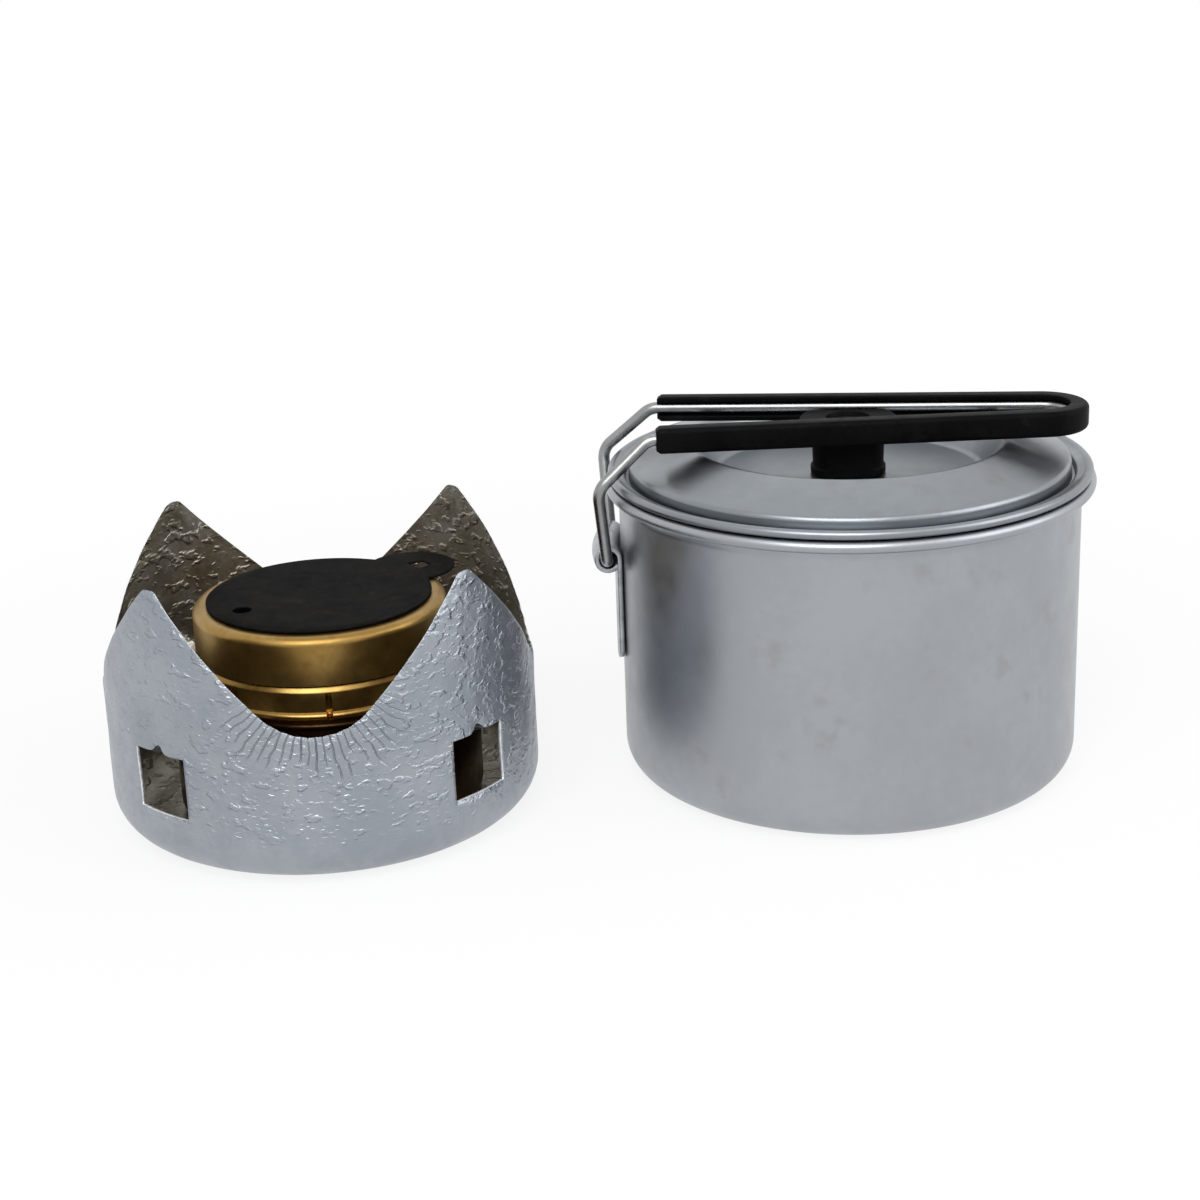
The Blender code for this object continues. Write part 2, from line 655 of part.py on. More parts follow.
def make_pot_body():
    """Drawn pot with a rounded foot, a flared mouth and a rolled rim."""
    flare = POT_BEAD_HEIGHT - POT_FLARE_DROP
    inside = POT_RADIUS - POT_SHEET
    bead = arc(POT_BEAD_REACH, POT_BEAD_HEIGHT, POT_BEAD_RADIUS, 175, -130, 8)
    inner = rounded([(bead[0][0] - 0.15, POT_BEAD_HEIGHT - 0.7, 0.0), (inside, flare, 3.0),
                     (inside, POT_SHEET, POT_CORNER - POT_SHEET), (0.0, POT_SHEET, 0.0)], 4)
    outer = rounded([bead[-1] + (0.0,), (POT_RADIUS, flare - 0.2, 2.0),
                     (POT_RADIUS, 0.0, POT_CORNER), (0.0, 0.0, 0.0)], 4)
    pot = turned("pot_body", inner[::-1] + bead + outer[1:], POT_STEPS, POT_CENTRE)
    combine(pot, bolt_holes("pot_bolt_holes", BOLT_SHANK + SEAT_GAP, POT_RADIUS - 4.0, POT_RADIUS + 2.0),
            "DIFFERENCE")
    return dress(pot, ALUMINIUM_SATIN)


def make_pot_lid():
    """Pressed lid: sunken floor, crest, sloping ring, locating groove and rolled edge."""
    groove = POT_BEAD_HEIGHT + POT_BEAD_RADIUS - LID_GROOVE_DIP + LID_SHEET
    groove_outer = LID_GROOVE_REACH - LID_SHEET
    groove_inner = groove_outer - LID_GROOVE_WIDTH
    crest = LID_CREST + 0.35
    crest_drop = (groove_inner - LID_CREST_REACH) * math.tan(LID_SLOPE)
    corners = [(LID_HOLE, LID_FLOOR, 0.0), (LID_FLOOR_REACH, LID_FLOOR, 1.4),
               (LID_CREST_REACH - 0.7, crest, 2.0), (groove_inner, crest - crest_drop, 1.4),
               (groove_inner, groove, 0.25), (groove_outer, groove, 0.25),
               (groove_outer, LID_BEAD_HEIGHT + 0.25, 1.0),
               (LID_BEAD_REACH - 1.0, LID_BEAD_HEIGHT + 0.35, 0.0)]
    top = rounded(corners, 2)
    under = rounded(other_side(corners, LID_SHEET), 2)
    bead = arc(LID_BEAD_REACH, LID_BEAD_HEIGHT, LID_BEAD_RADIUS, 155, -155, 7)
    profile = top[:-1] + bead + under[::-1][1:]
    return dress(turned("pot_lid", profile, POT_STEPS, POT_CENTRE, closed=True), ALUMINIUM_SATIN)


def make_lid_knob():
    """Moulded knob with two flats, bored from below for its screw."""
    top = KNOB_FOOT + KNOB_HEIGHT
    disc = top - KNOB_DISC_THICK
    bore_end = KNOB_FOOT + SCREW_GRIP + SEAT_GAP
    flange = KNOB_FOOT + KNOB_FLANGE_HEIGHT
    profile = [(0.0, top - KNOB_DISH_DEPTH), (KNOB_DISH_RADIUS, top - KNOB_DISH_DEPTH),
               (KNOB_DISH_RADIUS + 0.3, top), (KNOB_DISC_RADIUS - 0.5, top), (KNOB_DISC_RADIUS, top - 0.5),
               (KNOB_DISC_RADIUS, disc + 0.4), (KNOB_DISC_RADIUS - 0.4, disc), (KNOB_STEM_RADIUS, disc),
               (KNOB_STEM_RADIUS, flange), (KNOB_FLANGE_RADIUS, flange - 0.3),
               (KNOB_FLANGE_RADIUS, KNOB_FOOT),
               (LID_HOLE, KNOB_FOOT), (LID_HOLE, bore_end), (0.0, bore_end)]
    knob = turned("lid_knob", profile, 40, POT_CENTRE)
    reach = KNOB_DISC_RADIUS + 2.0
    waist = block("knob_waist", (-reach, -KNOB_HALF_WIDTH, KNOB_FOOT - 2.0),
                  (reach, KNOB_HALF_WIDTH, top + 2.0))
    combine(knob, to_handle_frame(waist), "INTERSECT")
    return dress(knob, BLACK_PLASTIC)


def make_knob_washer():
    """Flat washer under the lid."""
    profile = [(WASHER_RADIUS, WASHER_TOP), (WASHER_RADIUS, WASHER_TOP - WASHER_THICK),
               (LID_HOLE, WASHER_TOP - WASHER_THICK), (LID_HOLE, WASHER_TOP)]
    return dress(turned("knob_washer", profile, 24, POT_CENTRE, closed=True), STEEL)


def make_knob_screw():
    """Screw from below, through washer and lid into the knob."""
    tip = KNOB_FOOT + SCREW_GRIP
    foot = SCREW_SEAT - SCREW_HEAD_THICK
    profile = [(0.0, tip), (SCREW_RADIUS - 0.4, tip), (SCREW_RADIUS, tip - 0.4), (SCREW_RADIUS, SCREW_SEAT),
               (SCREW_HEAD_RADIUS, SCREW_SEAT), (SCREW_HEAD_RADIUS, foot + 0.9),
               (SCREW_HEAD_RADIUS - 1.2, foot), (0.0, foot)]
    return dress(turned("knob_screw", profile, 20, POT_CENTRE), STEEL)


def bolt_holes(name, radius, low, high):
    """Tools for the holes of both rivets, between two distances from the pot's axis."""
    holes = []
    for side in (-1, 1):
        hole = cylinder(f"{name}_{side}", radius, low, high, 0.0, 0.0, 16)
        holes.append(to_pot_side(hole, math.pi + HANDLE_TURN + side * BOLT_TURN, BOLT_HEIGHT))
    return joined(name, holes)


def make_handle_bracket():
    """Strap bent to the wall, with its upper end rolled into a barrel for the wire."""
    mouth = 180.0 + math.degrees(math.acos((CURL_RADIUS - BRACKET_SHEET - SEAT_GAP) / CURL_RADIUS))
    bore = CURL_RADIUS - BRACKET_SHEET
    profile = [(STRAP_INNER, BRACKET_FOOT)]
    profile += arc(CURL_REACH, HINGE_HEIGHT, CURL_RADIUS, 180, mouth - 360, CURL_STEPS)
    profile += arc(CURL_REACH, HINGE_HEIGHT, bore, mouth - 360, 180, CURL_STEPS)
    profile.append((STRAP_OUTER, BRACKET_FOOT))
    bracket = baked(turned("handle_bracket", profile, BRACKET_STEPS, POT_CENTRE, closed=True,
                           angle=2 * BRACKET_HALF_ANGLE, start=math.pi + HANDLE_TURN - BRACKET_HALF_ANGLE))
    edit = bmesh.new()
    edit.from_mesh(bracket.data)
    rims = [edge for edge in edit.edges if edge.is_boundary]
    bmesh.ops.holes_fill(edit, edges=rims, sides=0)
    bmesh.ops.triangulate(edit, faces=[face for face in edit.faces if len(face.verts) > 4])
    bmesh.ops.recalc_face_normals(edit, faces=edit.faces)
    edit.to_mesh(bracket.data)
    edit.free()
    combine(bracket, bolt_holes("strap_bolt_holes", BOLT_SHANK + SEAT_GAP, STRAP_INNER - 2.0,
                                STRAP_OUTER + 2.0), "DIFFERENCE")
    combine(bracket, bolt_holes("strap_head_recesses", BOLT_HEAD + SEAT_GAP, STRAP_OUTER - FLUSH_RECESS,
                                STRAP_OUTER + 2.0), "DIFFERENCE")
    return dress(bracket, ALUMINIUM_SATIN)


def make_bracket_rivet(name, side):
    """Rivet through strap and wall: flush head in the strap's recess, flat head inside the pot."""
    seat = STRAP_OUTER - FLUSH_RECESS + SEAT_GAP
    outside = STRAP_OUTER - FLUSH_DROP
    inside = POT_RADIUS - POT_SHEET - SLIP_GAP
    profile = [(0.0, outside), (BOLT_HEAD, outside), (BOLT_HEAD, seat),
               (BOLT_SHANK, seat), (BOLT_SHANK, inside), (BOLT_HEAD, inside),
               (BOLT_HEAD - 0.4, inside - BOLT_HEAD_THICK), (0.0, inside - BOLT_HEAD_THICK)]
    rivet = baked(turned(name, profile, 16, Vector((0, 0, 0))))
    return dress(to_pot_side(rivet, math.pi + HANDLE_TURN + side * BOLT_TURN, BOLT_HEIGHT), ALUMINIUM_SATIN)


def make_handle_wire():
    """Bent steel wire: two stubs in the barrel, two legs and a U inside the grip."""
    side = grip_side(WIRE_INSET, GRIP_START)
    slope = (side[1][1] - side[0][1]) / (side[1][0] - side[0][0])
    corners = [(-HINGE_REACH, STUB_START, HINGE_HEIGHT, 0.0),
               (-HINGE_REACH, LEG_SPREAD, HINGE_HEIGHT, LEG_BEND),
               (-BEND_REACH, BEND_SPREAD, BEND_HEIGHT, WIRE_BEND),
               (-GRIP_START - GRIP_LEAD_IN, side[0][1] - slope * GRIP_LEAD_IN, WIRE_LEVEL, WIRE_BEND),
               (0.0, side[0][1] + slope * GRIP_START, WIRE_LEVEL, 0.0)]
    half = rounded(corners, 4)[:-1] + [(x, y, WIRE_LEVEL) for x, y in side[1:]]
    points = [handle_point(*p) for p in half] + [handle_point(x, -y, z) for x, y, z in half[-2::-1]]
    curve = bpy.data.curves.new("handle_wire", "CURVE")
    curve.dimensions = "3D"
    curve.bevel_depth = WIRE_RADIUS * MM
    curve.bevel_resolution = 2
    curve.use_fill_caps = True
    spline = curve.splines.new("POLY")
    spline.points.add(len(points) - 1)
    for spot, point in zip(spline.points, points):
        spot.co = (*(point * MM), 1.0)
    wire = bpy.data.objects.new("handle_wire", curve)
    PARTS.objects.link(wire)
    wire = baked(wire)
    shift_origin(wire, handle_point(-HINGE_REACH, 0.0, HINGE_HEIGHT))
    return dress(wire, STEEL, 60.0)


def make_handle_grip():
    """Moulded U-shaped grip, with a channel on its inner side that holds the wire."""
    outline = grip_outline(0.0, GRIP_START) + grip_outline(GRIP_THICK, GRIP_START)[::-1]
    grip = prism("handle_grip", outline, GRIP_FOOT, GRIP_FOOT + GRIP_HEIGHT)
    bevel = grip.modifiers.new("edges", "BEVEL")
    bevel.width = GRIP_EDGE * MM
    bevel.segments = 2
    bevel.limit_method = "ANGLE"
    bevel.angle_limit = math.radians(50.0)
    dimple = cylinder("grip_dimple", GRIP_DIMPLE_RADIUS, GRIP_END_RADIUS - GRIP_DIMPLE_DEPTH,
                      GRIP_END_RADIUS + 2.0, 0.0, 0.0, 16)
    dimple.data.transform(Matrix.Translation(Vector((GRIP_END_CENTRE, 0.0, WIRE_LEVEL)) * MM)
                          @ Matrix.Rotation(math.pi / 2, 4, "X"))
    combine(grip, to_handle_frame(dimple), "DIFFERENCE")
    start = GRIP_START + 3.0
    outline = grip_outline(GRIP_OUTER_WALL, start) + grip_outline(GRIP_THICK + 1.5, start)[::-1]
    channel = prism("grip_channel", outline, WIRE_LEVEL - CHANNEL_HALF, WIRE_LEVEL + CHANNEL_HALF)
    combine(grip, to_handle_frame(channel), "DIFFERENCE")
    shift_origin(to_handle_frame(grip), handle_point(-HINGE_REACH, 0.0, HINGE_HEIGHT))
    return dress(grip, BLACK_PLASTIC)


clear_scene()
PARTS = make_collection("storm_cooker")
CUTTERS = make_collection("cutters")
ALUMINIUM_SHEET = make_material("textured_aluminium", (0.62, 0.65, 0.68), 0.38, 1.0)
ALUMINIUM_SATIN = make_material("satin_aluminium", (0.60, 0.62, 0.65), 0.34, 1.0)
BRASS = make_material("brass", (0.52, 0.38, 0.16), 0.30, 1.0)
BLACK_STEEL = make_material("blackened_steel", (0.03, 0.03, 0.03), 0.60, 0.6)
STEEL = make_material("bright_steel", (0.55, 0.56, 0.55), 0.25, 1.0)
BLACK_PLASTIC = make_material("black_plastic", (0.015, 0.015, 0.017), 0.50, 0.0)
RUBBER = make_material("black_rubber", (0.02, 0.02, 0.02), 0.80, 0.0)
WICK = make_material("wick_fibre", (0.75, 0.72, 0.62), 0.95, 0.0)

make_windshield()
make_burner_tank()
make_burner_sleeve()
make_burner_wick()
make_cap_seal()
make_burner_cap()
make_simmer_ring()
make_simmer_plate()
make_simmer_washer()
make_simmer_rivet()
make_pot_body()
make_pot_lid()
make_lid_knob()
make_knob_washer()
make_knob_screw()
make_handle_bracket()
make_bracket_rivet("bracket_rivet_near", -1)
make_bracket_rivet("bracket_rivet_far", 1)
make_handle_wire()
make_handle_grip()
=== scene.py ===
"""The looks of the storm cooker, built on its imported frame.

Sizes are millimetres in the frame's own axes: +Z up, with the windshield's base centre as the origin.
Each sub-assembly is a class that holds its sizes and lays its surfaces out as arrays of points.
"""

import logging
import math
from dataclasses import dataclass, field
from enum import Enum

import bmesh
import bpy
import numpy as np
from mathutils import Matrix, Vector


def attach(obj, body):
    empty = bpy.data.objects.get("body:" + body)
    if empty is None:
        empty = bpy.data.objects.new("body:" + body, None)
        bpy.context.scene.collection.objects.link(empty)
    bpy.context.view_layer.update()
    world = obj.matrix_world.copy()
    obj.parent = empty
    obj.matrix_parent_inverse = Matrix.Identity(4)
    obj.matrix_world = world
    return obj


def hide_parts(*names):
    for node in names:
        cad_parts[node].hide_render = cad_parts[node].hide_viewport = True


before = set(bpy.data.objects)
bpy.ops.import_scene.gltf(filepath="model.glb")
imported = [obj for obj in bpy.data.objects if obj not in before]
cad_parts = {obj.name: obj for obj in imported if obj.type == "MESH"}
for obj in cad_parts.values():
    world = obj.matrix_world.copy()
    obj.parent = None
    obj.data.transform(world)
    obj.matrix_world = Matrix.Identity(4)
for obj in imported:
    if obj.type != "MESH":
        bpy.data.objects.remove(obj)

MM = 0.001
LOG = logging.getLogger("storm_cooker")
Triple = tuple[float, float, float]
Pair = tuple[float, float]
Socket = bpy.types.NodeSocket


class Pattern(Enum):
    """How a layer of a finish is laid out."""

    CLOUDS = "soft clouds"
    CELLS = "rounded cells"
    STROKES = "flat-topped dents with short curved edges"
    PLEATS = "creases that fan out from a cut edge"
    SCRATCHES = "long fine scratches"
    RINGS = "turning marks about an upright axis"


@dataclass(frozen=True)
class Layer:
    """One layer of relief: its pattern, the size of its marks and its height, in millimetres."""

    pattern: Pattern
    size: float
    height: float
    stretch: Triple = (1.0, 1.0, 1.0)
    everywhere: bool = False


@dataclass(frozen=True)
class Strokes:
    """Where the noise of the strokes turns into a dent, and how high over the floor they set in."""

    line: Pair = (0.50, 0.60)
    breaks: Pair = (0.42, 0.56)
    start: Pair = (4.0, 18.0)


@dataclass(frozen=True)
class Fan:
    """Creases that fan out from a notch: their sway, line, depth and where they end, in millimetres.

    The line is a share of the spacing, and the fade a share of the depth. A depth is the least one and
    what chance adds to it.
    """

    sway_size: float = 5.0
    sway: float = 1.5
    line: Pair = (0.36, 0.50)
    depth: Pair = (7.5, 9.0)
    fade: Pair = (1.0, 0.45)
    ends: Pair = (21.0, 15.0)


STROKES = Strokes()
FAN = Fan()


@dataclass(frozen=True)
class Finish:
    """A surface finish made of procedural nodes on Object coordinates.

    Lengths are millimetres. The colour passes into the aged one in patches, over about the aged share
    of the surface. A stain lies on top as blots and dots.
    """

    name: str
    colour: Triple
    aged: Triple
    metallic: float
    roughness: Pair
    patch: float = 18.0
    aged_share: float = 0.5
    specular: float = 0.5
    layers: tuple[Layer, ...] = ()
    stain: Triple | None = None
    centre: Triple = (0.0, 0.0, 0.0)

    def material(self) -> bpy.types.Material:
        """Build the finish, or return it where it has been built.

        Returns:
            The material.
        """
        if self.name in bpy.data.materials and "made_here" in bpy.data.materials[self.name]:
            return bpy.data.materials[self.name]
        material = bpy.data.materials.new(self.name)
        material["made_here"] = True
        material.use_nodes = True
        bench = Bench(material)
        where = bench.place(self.centre)
        broad = bench.clouds(where, self.patch, 4.0)
        fine = bench.clouds(where, self.patch / 9.0, 6.0)
        mixed = bench.math("ADD", bench.math("MULTIPLY", broad, 0.7), bench.math("MULTIPLY", fine, 0.3))
        edge = 0.62 - 0.35 * self.aged_share
        share = bench.between(mixed, edge - 0.1, edge + 0.16)
        colour = bench.blend(share, self.colour, self.aged)
        if self.stain is not None:
            # each is a size, a detail, where it starts and ends in the noise, and a strength
            blots, dots = (self.patch * 0.45, 3.0, 0.60, 0.74, 0.55), (1.1, 2.0, 0.70, 0.76, 0.5)
            for size, detail, start, end, strength in (blots, dots):
                spots = bench.between(bench.clouds(where, size, detail), start, end)
                colour = bench.blend(bench.math("MULTIPLY", spots, strength), colour, self.stain)
        bench.link(colour, "Base Color")
        bench.set("Metallic", self.metallic)
        bench.set("Specular IOR Level", self.specular)
        grain = bench.clouds(where, self.patch / 4.0, 5.0)
        low, high = self.roughness
        bench.link(bench.scaled(grain, low, high), "Roughness")
        bench.relief(where, self.layers)
        return material


class Bench:
    """A small workbench for one material's node tree."""

    def __init__(self, material: bpy.types.Material) -> None:
        """Take the material's tree and its shader."""
        self.tree = material.node_tree
        self.shader = self.tree.nodes["Principled BSDF"]

    def node(self, kind: str, **values: object) -> bpy.types.Node:
        """Add a node and set its properties."""
        made = self.tree.nodes.new(kind)
        for key, value in values.items():
            setattr(made, key, value)
        return made

    def join(self, value: object, socket: Socket) -> None:
        """Link an output into a socket, or set the socket where a plain value is given."""
        if isinstance(value, Socket):
            self.tree.links.new(value, socket)
        elif isinstance(value, tuple) and len(value) == 3 and socket.type == "RGBA":
            socket.default_value = (*value, 1.0)
        else:
            socket.default_value = value

    def link(self, value: object, name: str) -> None:
        """Feed one of the shader's inputs."""
        self.join(value, self.shader.inputs[name])

    def set(self, name: str, value: float) -> None:
        """Set one of the shader's inputs to a plain value."""
        self.shader.inputs[name].default_value = value

    def place(self, centre: Triple) -> Socket:
        """Object coordinates, measured from a centre given in millimetres."""
        coordinates = self.node("ShaderNodeTexCoord")
        shift = self.node("ShaderNodeMapping")
        shift.inputs["Location"].default_value = tuple(-part * MM for part in centre)
        self.tree.links.new(coordinates.outputs["Object"], shift.inputs["Vector"])
        return shift.outputs["Vector"]

    def parts(self, where: Socket) -> bpy.types.NodeOutputs:
        """The three parts of a vector."""
        split = self.node("ShaderNodeSeparateXYZ")
        self.tree.links.new(where, split.inputs[0])
        return split.outputs

    def stretched(self, where: Socket, stretch: Triple) -> Socket:
        """Coordinates that make marks longer along an axis by its factor."""
        if stretch == (1.0, 1.0, 1.0):
            return where
        scale = self.node("ShaderNodeMapping")
        scale.inputs["Scale"].default_value = tuple(1.0 / part for part in stretch)
        self.tree.links.new(where, scale.inputs["Vector"])
        return scale.outputs["Vector"]

    def math(self, operation: str, first: object, second: object) -> Socket:
        """One step of arithmetic."""
        made = self.node("ShaderNodeMath", operation=operation)
        self.join(first, made.inputs[0])
        self.join(second, made.inputs[1])
        return made.outputs[0]

    def clouds(self, where: Socket, size: float, detail: float) -> Socket:
        """Noise whose clouds are size millimetres across."""
        made = self.node("ShaderNodeTexNoise")
        made.inputs["Scale"].default_value = 1.0 / (size * MM)
        made.inputs["Detail"].default_value = detail
        self.tree.links.new(where, made.inputs["Vector"])
        return made.outputs["Fac"]

    def cells(self, where: Socket, size: float, feature: str) -> Socket:
        """Distance inside rounded cells that are size millimetres across."""
        made = self.node("ShaderNodeTexVoronoi", feature=feature)
        made.inputs["Scale"].default_value = 1.0 / (size * MM)
        self.tree.links.new(where, made.inputs["Vector"])
        return made.outputs["Distance"]

    def scaled(self, value: object, low: float, high: float) -> Socket:
        """Carry 0.25..0.75 over to low..high, clamped."""
        made = self.node("ShaderNodeMapRange", clamp=True)
        self.join(value, made.inputs["Value"])
        for name, number in (("From Min", 0.25), ("From Max", 0.75), ("To Min", low), ("To Max", high)):
            made.inputs[name].default_value = number
        return made.outputs["Result"]

    def between(self, value: object, start: float, end: float) -> Socket:
        """Rise smoothly from 0 at start to 1 at end."""
        made = self.node("ShaderNodeMapRange", clamp=True, interpolation_type="SMOOTHSTEP")
        self.join(value, made.inputs["Value"])
        made.inputs["From Min"].default_value = start
        made.inputs["From Max"].default_value = end
        return made.outputs["Result"]

    def blend(self, share: object, first: object, second: object) -> Socket:
        """Mix two colours."""
        made = self.node("ShaderNodeMix", data_type="RGBA")
        self.join(share, made.inputs["Factor"])
        self.join(first, made.inputs[6])
        self.join(second, made.inputs[7])
        return made.outputs[2]

    def height(self, where: Socket, layer: Layer) -> Socket:
        """Height of a layer, from 0 to about 1."""
        spot = self.stretched(where, layer.stretch)
        if layer.pattern is Pattern.CELLS:
            return self.cells(spot, layer.size, "SMOOTH_F1")
        if layer.pattern is Pattern.STROKES:
            wave = self.clouds(spot, layer.size, 2.0)
            line = self.between(wave, *STROKES.line)
            broken = self.between(self.clouds(where, layer.size * 0.8, 1.0), *STROKES.breaks)
            low, high = STROKES.start
            upper = 1.0 if layer.everywhere else self.between(self.parts(where)[2], low * MM, high * MM)
            return self.math("MULTIPLY", self.math("MULTIPLY", line, broken), upper)
        if layer.pattern is Pattern.PLEATS:
            return self.pleats(where, layer.size)
        if layer.pattern is Pattern.RINGS:
            x, y, z = self.parts(where)
            square = self.math("ADD", self.math("POWER", x, 2.0), self.math("POWER", y, 2.0))
            reach = self.math("SQRT", square, 0.0)
            line = self.node("ShaderNodeCombineXYZ")
            self.tree.links.new(reach, line.inputs[0])
            self.tree.links.new(z, line.inputs[2])
            return self.clouds(line.outputs[0], layer.size, 3.0)
        return self.clouds(spot, layer.size, 4.0)

    def pleats(self, where: Socket, spacing: float) -> Socket:
        """Thin creases a spacing apart along a notch, from its edge to an uneven depth below it.

        The piece's UV map holds the distance along the fan and the depth below the edge. A crease is
        where the distance, swayed by noise, is nearest to a whole number of spacings.

        Args:
            where: Coordinates for the sway.
            spacing: Distance between creases in millimetres.

        Returns:
            The height of the creases.
        """
        distance, below, _ = self.parts(self.node("ShaderNodeUVMap", uv_map="fold").outputs[0])
        noise = self.clouds(where, FAN.sway_size, 2.0)
        sway = self.math("MULTIPLY", self.math("SUBTRACT", noise, 0.5), FAN.sway)
        along = self.math("DIVIDE", self.math("ADD", distance, sway), spacing)
        part = self.math("ABSOLUTE", self.math("SUBTRACT", self.math("FRACT", along, 0.0), 0.5), 0.0)
        line = self.between(part, *FAN.line)
        number = self.node("ShaderNodeTexWhiteNoise", noise_dimensions="1D")
        self.tree.links.new(self.math("FLOOR", self.math("ADD", along, 0.5), 0.0), number.inputs["W"])
        least, added = FAN.depth
        depth = self.math("ADD", self.math("MULTIPLY", number.outputs["Value"], added), least)
        fade = self.between(self.math("DIVIDE", below, depth), *FAN.fade)
        near = self.between(self.math("ABSOLUTE", distance, 0.0), *FAN.ends)
        crease = self.math("MULTIPLY", self.math("MULTIPLY", line, fade), near)
        return self.math("SUBTRACT", 1.0, crease)

    def relief(self, where: Socket, layers: tuple[Layer, ...]) -> None:
        """Stack the layers as bumps into the shader's normal.

        Args:
            where: The coordinates that the layers read.
            layers: The layers, from the coarsest to the finest.
        """
        normal = None
        for layer in layers:
            bump = self.node("ShaderNodeBump")
            bump.inputs["Distance"].default_value = layer.height * MM
            self.tree.links.new(self.height(where, layer), bump.inputs["Height"])
            if normal is not None:
                self.tree.links.new(normal, bump.inputs["Normal"])
            normal = bump.outputs["Normal"]
        if normal is not None:
            self.tree.links.new(normal, self.shader.inputs["Normal"])


POT_AXIS = (135.2, 5.9, 0.0)
BURNER_AXIS = (1.1, 0.0, 0.0)
HANDLE_TURN = -7.5
UPRIGHT = (1.0, 1.0, 14.0)


def clouds(size: float, height: float) -> Layer:
    """Soft clouds, a size across and a height deep."""
    return Layer(Pattern.CLOUDS, size, height)


def strokes(size: float, height: float, upright: float = 0.6, everywhere: bool = False) -> Layer:
    """Dents with short curved edges, made lower by a factor along the upright axis."""
    return Layer(Pattern.STROKES, size, height, (1.0, 1.0, upright), everywhere)


def scratches(size: float, height: float, stretch: Triple = UPRIGHT) -> Layer:
    """Long fine scratches, drawn out along an axis."""
    return Layer(Pattern.SCRATCHES, size, height, stretch)


HAMMERED = Finish(
    "hammered_aluminium", (0.36, 0.385, 0.42), (0.31, 0.335, 0.37), 1.0, (0.34, 0.46), 20.0, 0.4,
    layers=(clouds(3.4, 0.16), strokes(4.4, 0.25, 0.55), strokes(2.2, 0.09),
            Layer(Pattern.PLEATS, 1.6, 0.45), clouds(0.5, 0.02)))
INNER_SKIN = Finish(
    "crinkled_inner_aluminium", (0.36, 0.345, 0.31), (0.24, 0.22, 0.175), 1.0, (0.36, 0.47), 9.0, 0.5,
    layers=(clouds(4.5, 0.16), strokes(4.8, 0.24, everywhere=True), strokes(2.4, 0.04, everywhere=True)),
    stain=(0.19, 0.15, 0.09))
# Near-white cut edges: bare metal, brightened further as a painted highlight for the light the edges catch.
CUT_EDGE_AND_HIGHLIGHT = Finish(
    "cut_edge_with_painted_highlight", (0.84, 0.85, 0.86), (0.62, 0.64, 0.66), 0.5, (0.34, 0.46), 1.6, 0.4,
    layers=(clouds(0.9, 0.30), clouds(0.3, 0.05)))
POT_SKIN = Finish(
    "satin_pot_aluminium", (0.375, 0.395, 0.42), (0.345, 0.36, 0.385), 1.0, (0.34, 0.43), 26.0, 0.45,
    layers=(clouds(16.0, 0.06), scratches(1.0, 0.010, (14.0, 14.0, 1.0)), clouds(0.5, 0.012)),
    stain=(0.30, 0.305, 0.31), centre=POT_AXIS)
# Same aluminium as the pot, made darker: painted shade for the lid's dimmer top.
LID_SKIN_PAINTED_SHADE = Finish(
    "satin_lid_aluminium_painted_shade", (0.265, 0.284, 0.303), (0.242, 0.26, 0.28), 1.0, (0.29, 0.38), 22.0, 0.45,
    layers=(clouds(14.0, 0.05), Layer(Pattern.RINGS, 1.1, 0.008), clouds(0.5, 0.010)),
    stain=(0.23, 0.235, 0.24), centre=POT_AXIS)
STRAP_SKIN = Finish(
    "strap_aluminium", (0.46, 0.48, 0.50), (0.34, 0.355, 0.375), 1.0, (0.28, 0.42), 9.0, 0.45,
    layers=(scratches(0.6, 0.02, (1.0, 1.0, 9.0)), clouds(0.4, 0.02)),
    stain=(0.2, 0.2, 0.2), centre=POT_AXIS)
AGED_BRASS = Finish(
    "aged_brass", (0.40, 0.250, 0.078), (0.28, 0.165, 0.045), 1.0, (0.27, 0.37), 16.0, 0.45,
    layers=(clouds(5.0, 0.03), scratches(0.5, 0.008), clouds(0.4, 0.008)),
    stain=(0.14, 0.075, 0.02), centre=BURNER_AXIS)
# Tank brass darkened to near black-brown: painted shade for the tank down inside the windshield.
SHADED_TANK_BRASS = Finish(
    "tank_brass_painted_shade", (0.125, 0.068, 0.027), (0.072, 0.038, 0.016), 1.0, (0.26, 0.40), 11.0, 0.5,
    layers=(clouds(4.0, 0.05), scratches(0.6, 0.012), clouds(0.4, 0.01)),
    stain=(0.05, 0.03, 0.015), centre=BURNER_AXIS)
RING_BRASS = Finish(
    "golden_brass", (0.36, 0.230, 0.073), (0.29, 0.175, 0.050), 1.0, (0.31, 0.41), 13.0, 0.42,
    layers=(clouds(4.0, 0.03), Layer(Pattern.RINGS, 0.7, 0.008), scratches(0.5, 0.006)),
    stain=(0.22, 0.13, 0.035), centre=BURNER_AXIS)
BLACK_PLATE = Finish(
    "blackened_plate", (0.0055, 0.0052, 0.0052), (0.010, 0.0092, 0.0088), 0.0, (0.60, 0.75), 9.0, 0.4,
    specular=0.02, layers=(clouds(3.0, 0.03), clouds(0.35, 0.03)),
    stain=(0.018, 0.016, 0.014), centre=BURNER_AXIS)
